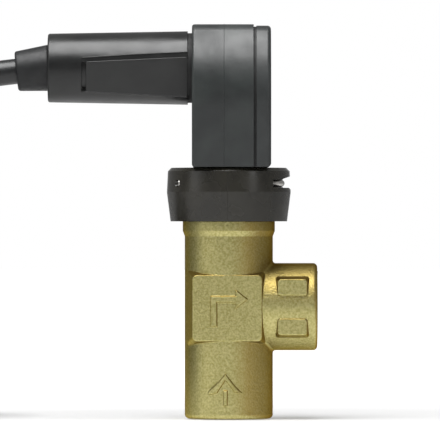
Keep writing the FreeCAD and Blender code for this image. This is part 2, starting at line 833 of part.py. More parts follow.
# ---- locking collar and clip ---------------------------------------------------------------------------------------
def make_collar():
    collar = new_body("locking_collar")
    turned(
        collar,
        [
            ("neck_thread_radius + carrier_play / 2", "collar_base"),
            ("collar_base_radius", "collar_base"),
            ("collar_ridge_radius", "collar_top - collar_ridge_drop"),
            ("collar_top_radius", "collar_top - collar_chamfer"),
            ("collar_top_radius - collar_chamfer", "collar_top"),
            ("spigot_radius + spigot_play", "collar_top"),
            ("spigot_radius + spigot_play", "flange_top"),
            ("neck_thread_radius + carrier_play / 2", "flange_top"),
        ],
    )
    slot = new_sketch(collar, "XZ_Plane")
    rim, low, high = "collar_ridge_radius", "(clip_height - slot_half)", "(clip_height + slot_half)"
    wire_low, wire_high = "clip_height - leg_hole_radius", "clip_height + leg_hole_radius"
    outline(
        slot,
        [
            ("slot_x", wire_low),
            ("slot_mouth_x", wire_low),
            ("slot_mouth_x", low),
            (f"{rim} - slot_corner", low),
            (f"{rim} + 1", f"{low} - slot_corner - 1"),
            (f"{rim} + 1", f"{high} + slot_lip * 1.5"),
            ("slot_mouth_x", high),
            ("slot_mouth_x", wire_high),
            ("slot_x", wire_high),
        ],
    )
    pocket(collar, slot, "4 * collar_ridge_radius", both=True)
    for side in (1, -1):
        hole = circle(new_sketch(collar, "YZ_Plane"), f"{side} * clip_leg_offset", "clip_height", "leg_hole_radius")
        pocket(collar, hole, "4 * collar_ridge_radius", both=True)
    keep(collar, "locking_collar")


def make_clip():
    """One bent wire: a leg each side of the spigot, joined by the bow that a screwdriver pulls."""
    tip, bow, side = -value("clip_tip_x"), value("clip_bow_x"), value("clip_leg_offset")
    corners = [Vector(tip, -side, 0), Vector(bow, -side, 0), Vector(bow, side, 0), Vector(tip, side, 0)]
    wire, _ = rounded_path(corners, value("clip_bow_x - slot_x"))
    keep(feature(swept(wire, value("clip_wire_radius")), z=value("clip_height")), "retaining_clip")


# ---- switch housing, cover and gasket ------------------------------------------------------------------------------
BOSSES = [("boss_half", "boss_height"), ("0 - boss_half", "boss_height"),
          ("low_boss_half", "low_boss_height"), ("0 - low_boss_half", "low_boss_height")]
POSTS = [("post_half", "post_height"), ("0 - post_half", "post_height")]


def make_housing():
    housing = new_body("switch_housing")
    pad(housing, arch(new_sketch(housing, "YZ_Plane", "0 - housing_back"), "0"), "housing_back + housing_mouth")
    dress(housing, "PartDesign::Fillet", "housing_round", edge_in_plane("X", "0 - housing_back"))
    spigot = circle(new_sketch(housing, "XY_Plane", "head_base"), "0", "0", "spigot_radius")
    pad(housing, spigot, "spigot_long", back=True)
    cavity = arch(new_sketch(housing, "YZ_Plane", "housing_mouth"), "housing_wall")
    pocket(housing, cavity, "housing_back + housing_mouth - housing_wall")
    hollow = circle(new_sketch(housing, "XY_Plane", "housing_floor + 1"), "0", "0", "spigot_hollow")
    pocket(housing, hollow, "housing_floor + 1 - spigot_end - spigot_floor")
    groove_half = "(clip_wire_radius + 2 * clip_play)"
    seal_half = "(head_seal_radius + seal_play)"
    grooves = (
        ("clip_groove_radius", "clip_height", groove_half),
        ("head_seal_ring - head_seal_radius - seal_play", "head_seal_height", seal_half),
    )
    for floor, height, half in grooves:
        turned(
            housing,
            [
                (floor, f"{height} - {half}"),
                ("spigot_radius + 1", f"{height} - {half}"),
                ("spigot_radius + 1", f"{height} + {half}"),
                (floor, f"{height} + {half}"),
            ],
            "PartDesign::Groove",
        )
    for (across, up), radius, front in (
        *((place, "boss_radius", "housing_mouth") for place in BOSSES),
        *((place, "post_radius", "board_x") for place in POSTS),
    ):
        stand = circle(new_sketch(housing, "YZ_Plane", "inner_back_x"), across, up, radius)
        pad(housing, stand, f"{front} - inner_back_x")
    for (across, up), radius, deep, front in (
        *((place, "cover_screw_radius + pin_fit", "cover_screw_long - 1", "housing_mouth") for place in BOSSES),
        *((place, "board_screw_radius + pin_fit", "board_screw_long", "board_x") for place in POSTS),
    ):
        pocket(housing, circle(new_sketch(housing, "YZ_Plane", front), across, up, radius), deep)
    tube_hole = new_sketch(housing, "YZ_Plane", "inner_back_x")
    circle(tube_hole, "0", "tube_height", "tube_thread_radius + tube_thread_play")
    pocket(housing, tube_hole, "2 * housing_wall")
    keep(housing, "switch_housing")
    keep(ring("head_seal_ring", "head_seal_radius", "head_seal_height"), "spigot_seal")


def make_cover():
    cover = new_body("housing_cover")
    pad(cover, arch(new_sketch(cover, "YZ_Plane", "cover_x"), "cover_inset", "0"), "cover_thick")
    dress(cover, "PartDesign::Fillet", "cover_round", edge_in_plane("X", "cover_face_x"))
    hollow = arch(new_sketch(cover, "YZ_Plane", "cover_x"), "(cover_inset + cover_rim)")
    pocket(cover, hollow, "cover_thick - cover_skin", forward=True)
    for across, up in BOSSES:
        stand = circle(new_sketch(cover, "YZ_Plane", "cover_x"), across, up, "cover_screw_head + 1")
        pad(cover, stand, "cover_thick - cover_skin")
    for across, up in BOSSES:
        for radius, deep in (("cover_screw_radius", "2 * cover_thick"), ("cover_screw_head", "cover_screw_sink")):
            face = new_sketch(cover, "YZ_Plane", "cover_face_x")
            pocket(cover, circle(face, across, up, f"{radius} + cover_screw_run"), deep)
    keep(cover, "housing_cover")
    gasket = new_body("cover_gasket")
    band = arch(new_sketch(gasket, "YZ_Plane", "housing_mouth"), "gasket_inset", "0")
    pad(gasket, arch(band, "(gasket_inset + gasket_width)"), "gasket_thick")
    keep(gasket, "cover_gasket")
    screws = [cover_screw(across, up) for across, up in BOSSES]
    keep(group(*screws), "cover_screws")


def cover_screw(across, up):
    """A pan-head screw with a cross recess."""
    head = cylinder("cover_screw_head", "cover_screw_head_tall", "screw_seat_x", across, up, ALONG_X)
    shank_end = "screw_seat_x - cover_screw_long"
    shank = cylinder("cover_screw_radius", "cover_screw_long", shank_end, across, up, ALONG_X)
    deep = "screw_seat_x + cover_screw_head_tall - recess_deep"
    arms = [
        box("2 * recess_deep", f"2 * {wide}", f"2 * {tall}", deep, f"{across} - {wide}", f"{up} - {tall}")
        for wide, tall in (("recess_half", "recess_thick / 2"), ("recess_thick / 2", "recess_half"))
    ]
    return cut(joined(head, shank), *arms)


# ---- circuit board and terminals -----------------------------------------------------------------------------------
def make_board():
    board = new_body("circuit_board")
    sketch = new_sketch(board, "YZ_Plane", "board_x")
    outline(
        sketch,
        [
            ("0 - tongue_half", "board_foot"),
            ("tongue_half", "board_foot"),
            ("tongue_half", "board_shoulder"),
            ("board_half", "board_shoulder"),
            ("board_half", "board_top"),
            ("0 - board_half", "board_top"),
            ("0 - board_half", "board_shoulder"),
            ("0 - tongue_half", "board_shoulder"),
        ],
    )
    pad(board, sketch, "board_thick")
    for across, up in POSTS:
        hole = circle(new_sketch(board, "YZ_Plane", "board_x"), across, up, "board_screw_radius + pin_run")
        pocket(board, hole, "board_thick", forward=True)
    keep(board, "circuit_board")
    screws = [
        joined(
            cylinder("board_screw_head", "board_screw_head_tall", "board_x + board_thick", across, up, ALONG_X),
            cylinder(
                "board_screw_radius",
                "board_screw_long + board_thick - 0.2",
                "board_x - board_screw_long + 0.2",
                across,
                up,
                ALONG_X,
            ),
        )
        for across, up in POSTS
    ]
    keep(group(*screws), "board_screws")
    glass = cylinder("reed_radius", "reed_long", "reed_x", "0", "reed_foot")
    rounded = doc.addObject("Part::Fillet", "reed_glass")
    rounded.Base = glass
    doc.recompute()
    rounded.Edges = [
        (i, value("reed_radius * 0.6"), value("reed_radius * 0.6"))
        for i, edge in enumerate(glass.Shape.Edges, start=1)
        if isinstance(edge.Curve, Part.Circle)
    ]
    keep(rounded, "reed_glass")
    leads = [bent_lead(end, up) for end, up in (("reed_foot", -1), ("reed_foot + reed_long", 1))]
    keep(group(*leads), "reed_leads")
    body = cylinder(
        "resistor_radius",
        "resistor_long",
        "board_x - resistor_radius - reed_gap",
        "0 - resistor_long / 2",
        "resistor_height",
        ALONG_Y,
    )
    legs = [resistor_leg(side) for side in (1, -1)]
    keep(joined(body, *legs), "board_resistor")


def bent_lead(end, up):
    """A reed's wire: out of the glass along its axis, then square to the board."""
    x, start, long = value("reed_x"), value(end), up * value("reed_lead_long")
    points = [Vector(x, 0, start), Vector(x, 0, start + long), Vector(value("board_x"), 0, start + long)]
    wire, _ = rounded_path(points, 3 * value("reed_lead_radius"))
    return feature(swept(wire, value("reed_lead_radius")))


def resistor_leg(side):
    x = value("board_x - resistor_radius - reed_gap")
    start, reach = side * value("resistor_long / 2 - 0.2"), side * value("resistor_long / 2 + reed_lead_long")
    height = value("resistor_height")
    points = [Vector(x, start, height), Vector(x, reach, height), Vector(value("board_x"), reach, height)]
    wire, _ = rounded_path(points, 3 * value("reed_lead_radius"))
    return feature(swept(wire, value("reed_lead_radius")))


CORES = ((1, "core_brown"), (0, "core_black"), (-1, "core_blue"))


def make_terminals():
    block = box(
        "block_deep",
        "2 * block_half",
        "block_above + block_below",
        "board_x - block_deep",
        "0 - block_half",
        "tube_height - block_below",
    )
    wells, screws = [], []
    middle_x = "board_x - block_deep / 2"
    seat = "tube_height + block_above - 2 * terminal_screw_tall"
    for step, _ in CORES:
        across = f"{step} * terminal_pitch"
        wells.append(
            cylinder("core_hole_radius", "core_hole_deep", "board_x - block_deep", across, "tube_height", ALONG_X)
        )
        wells.append(
            cylinder("terminal_screw_radius + pin_run", "4 * terminal_screw_tall", middle_x, across, seat)
        )
        screw = cylinder("terminal_screw_radius", "terminal_screw_tall", middle_x, across, seat)
        slit = box(
            "recess_thick",
            "4 * terminal_screw_radius",
            "recess_deep",
            f"{middle_x} - recess_thick / 2",
            f"{across} - 2 * terminal_screw_radius",
            f"{seat} + terminal_screw_tall - recess_deep / 2",
        )
        screws.append(cut(screw, slit))
    keep(cut(block, *wells), "terminal_block")
    keep(group(*screws), "terminal_screws")


# ---- cable tube ----------------------------------------------------------------------------------------------------
def tube_radius_at(x):
    """The tube's outer radius at a distance x from the tee's axis."""
    tip, base = value("tube_tip_x"), value("shoulder_x")
    share = (x - base) / (tip - base)
    return value("tube_base_radius") * (1 - share) + value("tube_tip_radius") * share


def flat_section(x, flat_depth, bevel_depth):
    """Across the tube at x, what a spanner flat takes away: the flat itself and the bevel above it."""
    radius = tube_radius_at(x)
    outside = 1.4 * radius
    flat, bevel = radius - flat_depth, radius - bevel_depth
    turn = math.radians(value("bevel_turn"))
    corner_up = (bevel - flat * math.cos(turn)) / math.sin(turn)
    top_up = 0.95 * radius
    top_front = (bevel - top_up * math.sin(turn)) / math.cos(turn)
    corners = [(outside, -outside), (flat, -outside), (flat, corner_up), (top_front, top_up), (outside, top_up)]
    tilt = math.radians(value("flat_turn"))
    return Part.makePolygon(
        [
            Vector(-x, -front * math.cos(tilt) - up * math.sin(tilt), up * math.cos(tilt) - front * math.sin(tilt))
            for front, up in corners + corners[:1]
        ]
    )


def flat_groove():
    """The undercut across the shallow end of a spanner flat: part of a ring, centred on the flat's normal."""
    start, tilt = value("flat_start_x"), math.radians(value("flat_turn"))
    radius, wide = tube_radius_at(start), value("flat_groove_wide")
    reach = math.degrees(math.acos(1 - value("flat_tip_depth") / radius))
    outer = Part.makeCylinder(1.4 * radius, wide, Vector(), Vector(0, 0, 1), 2 * reach)
    inner = Part.makeCylinder(radius - value("flat_groove_depth"), wide)
    normal = Vector(0, -math.cos(tilt), -math.sin(tilt))
    groove = outer.cut(inner)
    groove.rotate(Vector(), Vector(0, 0, 1), -reach)
    facing = Placement(Vector(-start, 0, 0), Rotation(normal, Vector(), Vector(1, 0, 0), "ZXY"))
    return groove.transformed(facing.toMatrix())


def flat_cutter(half_turn):
    """The tool that mills one spanner flat, which gets deeper towards the housing."""
    start, past_end = value("flat_start_x"), value("shoulder_x - tube_seal_thick")
    stations = [
        (start, value("flat_tip_depth"), value("bevel_tip_depth")),
        (past_end, value("flat_base_depth"), value("bevel_base_depth")),
    ]
    tool = Part.makeLoft([flat_section(*station) for station in stations], True, True).fuse(flat_groove())
    if half_turn:
        tool.rotate(Vector(), Vector(1, 0, 0), 180)
    return feature(tool, z=value("tube_height"))


def make_tube():
    """Modelled about the X axis and lifted to the tube's height."""
    tube = new_body("cable_tube_blank")
    turned(
        tube,
        [
            ("0 - thread_end_x", "tube_passage_radius"),
            ("0 - thread_end_x", "tube_thread_radius"),
            ("0 - shoulder_x", "tube_thread_radius"),
            ("0 - shoulder_x", "tube_base_radius"),
            ("0 - tube_tip_x", "tube_tip_radius"),
            ("0 - tube_tip_x", "grommet_neck_radius"),
            ("tube_end_wall - tube_tip_x", "grommet_neck_radius"),
            ("tube_end_wall - tube_tip_x", "tube_bore_radius"),
            ("0 - shoulder_x - tube_passage_long", "tube_bore_radius"),
            ("0 - shoulder_x - tube_passage_long", "tube_passage_radius"),
        ],
        axis="H_Axis",
    )
    dress(tube, "PartDesign::Fillet", "tube_round", circle_at("tube_tip_radius", x="0 - tube_tip_x"))
    put(tube, z="tube_height")
    keep(cut(tube, flat_cutter(False), flat_cutter(True)), "cable_tube")
    seal = cylinder("tube_seal_radius", "tube_seal_thick", "0 - shoulder_x", "0", "tube_height", ALONG_X)
    hole = cylinder(
        "tube_thread_radius + tube_thread_play", "3 * tube_seal_thick", "0 - shoulder_x - tube_seal_thick", "0",
        "tube_height", ALONG_X,
    )
    keep(cut(seal, hole), "tube_seal")
    nut = doc.addObject("Part::Prism", "nut")
    nut.Polygon = 6
    bind(nut, Circumradius="locknut_radius", Height="locknut_thick")
    put(nut, "inner_back_x", "0", "tube_height", ALONG_X)
    nut_hole = cylinder(
        "tube_thread_radius + tube_thread_play", "3 * locknut_thick", "inner_back_x - locknut_thick", "0",
        "tube_height", ALONG_X,
    )
    keep(cut(nut, nut_hole), "tube_locknut")


def make_clamp():
    """A slit ring that grips the jacket inside the tube."""
    outer = cylinder("tube_bore_radius - cable_play", "clamp_long", "0 - clamp_x", "0", "tube_height", ALONG_X)
    hole = cylinder("cable_hole_radius", "3 * clamp_long", "0 - clamp_x - clamp_long", "0", "tube_height", ALONG_X)
    slit = box(
        "3 * clamp_long", "clamp_slit", "2 * tube_bore_radius", "0 - clamp_x - clamp_long", "0 - clamp_slit / 2",
        "tube_height",
    )
    keep(cut(outer, hole, slit), "cable_clamp")


# ---- cable inside the tube -----------------------------------------------------------------------------------------
def cable_heading():
    tilt = math.radians(value("cable_tilt"))
    return Vector(-math.cos(tilt), 0, -math.sin(tilt))


def entry_path(start_x, beyond=0.0):
    """The cable's line from inside the tube, tilting down through the grommet."""
    bend = Vector(-value("tube_tip_x"), 0, value("tube_height"))
    exit_ = bend + cable_heading() * (value("grommet_long") + beyond)
    start = Vector(-start_x, 0, value("tube_height"))
    return rounded_path([start, bend, exit_], value("cable_bend_radius"))[0]


def make_entry():
    jacket = swept(entry_path(value("jacket_end_x")), value("cable_radius"))
    keep(feature(jacket), "cable_jacket")
    bend = Vector(-value("tube_tip_x"), 0, value("tube_height"))
    inside = value("tube_end_wall")
    along, inward = Vector(-1, 0, 0), Vector(1, 0, 0)
    cone = Part.makeCone(
        value("grommet_base_radius"), value("grommet_tip_radius"), value("grommet_long"), bend, cable_heading()
    )
    middle_x = -value("tube_tip_x + grommet_long / 2")
    lip = [edge for edge in cone.Edges if edge.Closed and edge.BoundBox.XMax < middle_x]
    cone = cone.makeFillet(value("grommet_round"), lip)
    reach = 2 * value("grommet_base_radius")
    behind = Part.makeBox(reach, 2 * reach, 2 * reach, bend + Vector(0, -reach, -reach))
    neck = Part.makeCylinder(value("grommet_neck_radius - pin_fit"), inside, bend, inward)
    flange_start = bend + inward * inside
    flange = Part.makeCylinder(
        value("grommet_flange_radius"), value("grommet_flange"), flange_start + inward * value("grommet_flange"), along
    )
    hole = swept(entry_path(value("jacket_end_x"), value("bore_beyond")), value("cable_hole_radius"))
    solid = cone.cut(behind).fuse([neck, flange]).removeSplitter().cut(hole)
    keep(feature(solid), "grommet")


def make_cores():
    """Three insulated cores from the jacket's cut end to their terminals."""
    start_x, end_x = -value("jacket_end_x"), value("board_x - block_deep + core_hole_deep") - 0.3
    height = value("tube_height")
    for number, (step, label) in enumerate(CORES):
        angle = math.radians(120 * number)
        across, up = value("core_ring") * math.cos(angle), value("core_ring") * math.sin(angle)
        points = [
            Vector(start_x, across, height + up),
            Vector(start_x + 3, across, height + up),
            Vector(-value("shoulder_x") + 1, step * value("terminal_pitch"), height),
            Vector(end_x, step * value("terminal_pitch"), height),
        ]
        wire, _ = rounded_path(points)
        keep(feature(swept(wire, value("core_radius"))), label)


# ---- free cable, coil and bare end ---------------------------------------------------------------------------------
# The lead's route after the grommet: down in a wide spiral onto the top turn of the coil.
LEAD = [
    (-72.2, 0.0, 101.5),
    (-85.1, -2.3, 98.7),
    (-95.9, -7.6, 93.9),
    (-107.7, -12.3, 87.4),
    (-124.3, -12.9, 81.2),
    (-138.5, -7.0, 74.2),
    (-148.3, 4.1, 64.6),
    (-150.8, 19.3, 54.2),
    (-149.3, 36.1, 48.8),
    (-140.8, 50.1, 45.0),
    (-128.0, 58.8, 43.6),
    (-117.5, 61.8, 42.95),
    (-106.5, 61.3, 42.6),
]


def coil_point(radius, angle, height):
    turn = math.radians(angle)
    return Vector(
        value("coil_x") + radius * math.cos(turn), value("coil_y") + radius * math.sin(turn), height
    )


def make_lead():
    bend = Vector(-value("tube_tip_x"), 0, value("tube_height"))
    exit_ = bend + cable_heading() * value("grommet_long")
    wire, radii = rounded_path([exit_] + [Vector(*point) for point in LEAD])
    tube = swept(wire, value("cable_radius"))
    print("lead arcs' radii:", " ".join(f"{radius:.1f}" for radius in radii))
    report_length("lead", wire, tube)
    keep(feature(tube), "cable_lead")


def report_length(name, wire, tube):
    section = math.pi * value("cable_radius") ** 2
    print(f"{name}: {wire.Length:.1f} mm long, volume {tube.Volume / section / wire.Length:.4f} of its section")


def make_coil():
    """The outer shape of the turns, which lie on each other, and the tie round them."""
    coil = new_body("cable_coil")
    inner, outer = "(coil_radius - cable_radius)", "(coil_radius + cable_radius)"
    turned(
        coil,
        [
            (f"{inner} + coil_edge", "coil_lift"),
            (f"{outer} - coil_edge", "coil_lift"),
            (outer, "coil_lift + coil_edge"),
            (outer, "coil_top - coil_edge"),
            (f"{outer} - coil_edge", "coil_top"),
            (f"{inner} + coil_edge", "coil_top"),
            (inner, "coil_top - coil_edge"),
            (inner, "coil_lift + coil_edge"),
        ],
    )
    put(coil, "coil_x", "coil_y")
    keep(coil, "cable_coil")
    play, thick = value("tie_play"), value("tie_thick")
    wide, tall = 2 * value("cable_radius") + 2 * play, value("coil_top - coil_lift") + 2 * play
    band = value("tie_width")
    inner_box = Part.makeBox(wide, 3 * band, tall, Vector(-wide / 2, -1.5 * band, 0))
    outer_box = Part.makeBox(
        wide + 2 * thick, band, tall + 2 * thick, Vector(-wide / 2 - thick, -band / 2, -thick)
    )
    round_edges = [edge for edge in outer_box.Edges if edge.BoundBox.YLength > band - 0.1]
    tie = outer_box.makeFillet(thick, round_edges).cut(inner_box)
    tie.translate(Vector(value("coil_radius"), 0, value("coil_lift") - play))
    tie.rotate(Vector(), Vector(0, 0, 1), value("tie_angle"))
    keep(feature(tie, value("coil_x"), value("coil_y")), "coil_tie")


# The tail's route inside the coil, as angle and radius, and how far each bare core fans outward.
TAIL = [(56.0, 37.0), (40.0, 34.6), (22.0, 32.0), (2.0, 30.2), (-20.0, 29.6), (-42.0, 29.6)]
CORE_FAN = [-3.0, -6.5, 0.5]


def make_tail():
    """The cable's last stretch, which leaves the lowest turn and lies inside the coil, and its stripped end."""
    height = value("coil_lift + cable_radius")
    points = [coil_point(radius, angle, height) for angle, radius in TAIL]
    wire, radii = rounded_path(points)
    tube = swept(wire, value("cable_radius"))
    print("tail arcs' radii:", " ".join(f"{radius:.1f}" for radius in radii))
    report_length("tail", wire, tube)
    keep(feature(tube), "cable_tail")
    heading = points[-1] - points[-2]
    heading.normalize()
    outward = Vector(-heading.y, heading.x, 0)
    angle, radius = TAIL[-1]
    ferrules = []
    for number, (_, label) in enumerate(CORES):
        turn = math.radians(120 * number + 90)
        offset = outward * (value("core_ring") * math.cos(turn))
        offset.z = value("core_ring") * math.sin(turn)
        start = points[-1] + offset
        fan = CORE_FAN[number]
        path, _ = rounded_path(
            [
                start,
                start + heading * (value("core_end_long") / 4),
                coil_point(radius + fan / 2, angle - value("core_end_turn") / 2, height + offset.z),
                coil_point(radius + fan, angle - value("core_end_turn"), height + offset.z),
            ]
        )
        tip = path.Edges[-1]
        keep(feature(swept(path, value("core_radius"))), f"{label}_end")
        ferrules.append(ferrule(tip.valueAt(tip.LastParameter), tip.tangentAt(tip.LastParameter)))
    keep(group(*ferrules), "end_ferrules")


def ferrule(start, heading):
    collar = Part.makeCylinder(value("ferrule_collar_radius"), value("ferrule_collar"), start, heading)
    tip = Part.makeCylinder(value("ferrule_radius"), value("ferrule_long"), start, heading)
    return feature(collar.fuse(tip))


make_tee()
make_carrier()
make_paddle()
make_collar()
make_clip()
make_housing()
make_cover()
make_board()
make_terminals()
make_tube()
make_clamp()
make_entry()
make_cores()
make_lead()
make_coil()
make_tail()
doc.recompute()

failed = [thing.Label for thing in doc.Objects if {"Invalid", "Error"} & set(thing.State)]
failed += [piece.Label for piece in pieces if piece.Shape.isNull() or not piece.Shape.isValid()]
if failed:
    raise RuntimeError(f"not built: {failed}")
os.makedirs("parts", exist_ok=True)
for piece in pieces:
    piece.Shape.exportStep(f"parts/{piece.Label}.step")
    print(f"{piece.Label}: {len(piece.Shape.Solids)} solids, {piece.Shape.Volume:.1f} cubic mm")
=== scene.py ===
import json
import math

import bmesh
import bpy
from mathutils import Matrix, Vector


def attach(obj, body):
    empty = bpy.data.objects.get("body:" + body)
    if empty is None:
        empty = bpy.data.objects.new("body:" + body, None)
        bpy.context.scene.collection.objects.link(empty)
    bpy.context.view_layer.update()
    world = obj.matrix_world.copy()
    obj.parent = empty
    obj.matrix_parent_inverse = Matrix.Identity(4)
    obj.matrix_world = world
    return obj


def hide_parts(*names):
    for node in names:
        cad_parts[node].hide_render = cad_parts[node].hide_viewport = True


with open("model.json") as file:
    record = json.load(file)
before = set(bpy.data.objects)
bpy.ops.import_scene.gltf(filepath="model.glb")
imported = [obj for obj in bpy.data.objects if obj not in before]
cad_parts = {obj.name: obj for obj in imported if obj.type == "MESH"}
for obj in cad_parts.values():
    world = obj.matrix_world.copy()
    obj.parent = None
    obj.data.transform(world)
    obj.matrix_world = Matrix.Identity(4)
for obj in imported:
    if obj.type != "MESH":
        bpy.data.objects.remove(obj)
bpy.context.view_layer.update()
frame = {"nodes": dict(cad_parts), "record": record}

MM = 0.001
nodes = frame["nodes"]
scene = bpy.context.scene


def mm(*place):
    """A point given in millimetres."""
    return Vector(place) * MM


def add_piece(name, data, body):
    """A new object at the origin, which rides on a body."""
    piece = bpy.data.objects.new(name, data)
    scene.collection.objects.link(piece)
    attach(piece, body)
    return piece


def closed_mesh(name, shape):
    """Turns a bmesh's faces outwards and makes a mesh of it."""
    bmesh.ops.recalc_face_normals(shape, faces=shape.faces)
    mesh = bpy.data.meshes.new(name)
    shape.to_mesh(mesh)
    shape.free()
    return mesh


# ---- camera -------------------------------------------------------------------------------------------------------
# A long lens straight at the side that carries the plate, at half the switch's height.
VIEW_WIDTH = 130.0
CAMERA_AWAY = 2000.0
CAMERA_X, CAMERA_Z = -2.6, 58.6
SENSOR_WIDTH = 36.0
camera = bpy.data.objects.new("camera", bpy.data.cameras.new("camera"))
scene.collection.objects.link(camera)
camera.data.type = "PERSP"
camera.data.sensor_width = SENSOR_WIDTH
camera.data.lens = SENSOR_WIDTH * CAMERA_AWAY / VIEW_WIDTH
camera.data.clip_end = 50.0
camera.location = mm(CAMERA_X, -CAMERA_AWAY, CAMERA_Z)
camera.rotation_euler = (math.radians(90), 0, 0)
scene.camera = camera


# ---- materials: the two small tools -------------------------------------------------------------------------------
def colour(text):
    """Linear red, green, blue and alpha from an sRGB hex value."""
    values = [int(text[i : i + 2], 16) / 255 for i in (1, 3, 5)]
    linear = [v / 12.92 if v <= 0.04045 else ((v + 0.055) / 1.055) ** 2.4 for v in values]
    return (*linear, 1.0)


def add(tree, kind, inputs=None, **settings):
    """Adds a node with its settings; each input is a value or the output that is linked to it."""
    made = tree.nodes.new(kind)
    for name, value in settings.items():
        setattr(made, name, value)
    for socket, value in (inputs or {}).items():
        if isinstance(value, bpy.types.NodeSocket):
            tree.links.new(value, made.inputs[socket])
        else:
            made.inputs[socket].default_value = value
    return made


def per_mm(size):
    """The noise scale whose features are about this many millimetres across."""
    return 1000.0 / size


def new_material(name):
    """An empty material, its tree and its Principled shader."""
    material = bpy.data.materials.new(name)
    material.use_nodes = True
    tree = material.node_tree
    return material, tree, tree.nodes["Principled BSDF"]


def feed(tree, shader, **sockets):
    """Sets or links sockets of a shader; an underscore in a word stands for a space."""
    for word, value in sockets.items():
        socket = shader.inputs[word.replace("_", " ")]
        if isinstance(value, bpy.types.NodeSocket):
            tree.links.new(value, socket)
        else:
            socket.default_value = value


# ---- cable --------------------------------------------------------------------------------------------------------
# A 7.5 mm PVC control cable, 1.5 m long, of which 1.45 m is free. The part that isn't needed lies wound up.
CABLE_RADIUS = 3.75
CABLE_EXIT = (-62.75, 0.0, 102.52)
LEAD = [
    (-72.2, 0.0, 101.5),
    (-85.1, -2.3, 98.7),
    (-95.9, -7.6, 93.9),
    (-107.7, -12.3, 87.4),
    (-124.3, -12.9, 81.2),
    (-138.5, -7.0, 74.2),
    (-148.3, 4.1, 64.6),
    (-150.8, 19.3, 54.2),
    (-149.3, 36.1, 48.8),
    (-140.8, 50.1, 45.0),
    (-128.0, 58.8, 43.6),
    (-117.5, 61.8, 42.95),
]
COIL_CENTRE = (-113.5, 24.0)
COIL_RADIUS = 38.3
COIL_START, COIL_TURNS, COIL_PITCH = 96.0, 5.11, 7.52
# Each turn strays from the round by up to this much, in a beat that never repeats from one turn to the next.
COIL_STRAY, STRAY_BEAT = 0.25, 2.3
POINTS_PER_TURN = 16
# The tail inside the lowest turn, as angle and radius.
TAIL = [(40.0, 36.9), (22.0, 34.6), (2.0, 32.2), (-20.0, 30.4), (-42.0, 29.6)]
TAIL_HEIGHT = 4.75


def on_coil(radius, angle, height):
    """A place given round the coil's axis."""
    turn = math.radians(angle)
    return (COIL_CENTRE[0] + radius * math.cos(turn), COIL_CENTRE[1] + radius * math.sin(turn), height)


def coil_turns():
    """Control points of the wound turns, each a cable's width under the one before."""
    count = round(COIL_TURNS * POINTS_PER_TURN)
    top = TAIL_HEIGHT + COIL_TURNS * COIL_PITCH
    points = []
    for i in range(1, count + 1):
        share = i / count
        stray = COIL_STRAY * math.sin(STRAY_BEAT * i) * math.sin(math.pi * share)
        points.append(
            on_coil(
                COIL_RADIUS + stray,
                COIL_START - 360.0 * COIL_TURNS * share,
                top - COIL_TURNS * COIL_PITCH * share,
            )
        )
    return points


TIE_ANGLE = -150.0
# How wide the tie's band is, and how far its two faces are from the middle of the turns.
TIE_WIDTH, TIE_INNER, TIE_OUTER = 6.0, 4.05, 4.75
TIE_ROUND_STEPS = 16
LOCK_SIZE, LOCK_ROUND, LOCK_SUNK = (3.2, 6.8, 5.4), 0.7, 0.4


def make_tie():
    """A nylon tie drawn tight round the turns, with its lock head on the outside."""
    below_start = ((COIL_START - TIE_ANGLE) % 360.0) / 360.0
    top = TAIL_HEIGHT + (COIL_TURNS - below_start) * COIL_PITCH
    bottom = top - math.floor(COIL_TURNS - below_start) * COIL_PITCH
    edge = TIE_WIDTH / 2
    section = ((TIE_INNER, -edge), (TIE_OUTER, -edge), (TIE_OUTER, edge), (TIE_INNER, edge))
    shape = bmesh.new()
    rings = []
    for height, first in ((top, 0.0), (bottom, math.pi)):
        for i in range(TIE_ROUND_STEPS + 1):
            turn = first + math.pi * i / TIE_ROUND_STEPS
            places = [mm(reach * math.cos(turn), y, height + reach * math.sin(turn)) for reach, y in section]
            rings.append([shape.verts.new(place) for place in places])
    for ring, after in zip(rings, rings[1:] + rings[:1]):
        for i in range(4):
            shape.faces.new((ring[i], ring[(i + 1) % 4], after[(i + 1) % 4], after[i]))
    lock_place = Matrix.Translation(mm(TIE_OUTER + LOCK_SIZE[0] / 2 - LOCK_SUNK, 0, (top + bottom) / 2))
    lock = bmesh.ops.create_cube(shape, matrix=lock_place @ Matrix.Diagonal((*mm(*LOCK_SIZE), 1.0)))
    edges = list({edge for vertex in lock["verts"] for edge in vertex.link_edges})
    bmesh.ops.bevel(shape, geom=edges, offset=LOCK_ROUND * MM, segments=3, profile=0.5, affect="EDGES")
    band = closed_mesh("nylon_tie", shape)
    # The spline cuts inside its control points, so the turns' radius is a little smaller than theirs.
    turns_radius = COIL_RADIUS * math.cos(math.pi / POINTS_PER_TURN)
    band.transform(
        Matrix.Translation(mm(*on_coil(turns_radius, TIE_ANGLE, 0.0)))
        @ Matrix.Rotation(math.radians(TIE_ANGLE), 4, "Z")
    )
    tie = add_piece("nylon_tie", band, "head")
    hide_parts("coil_tie")
    return tie


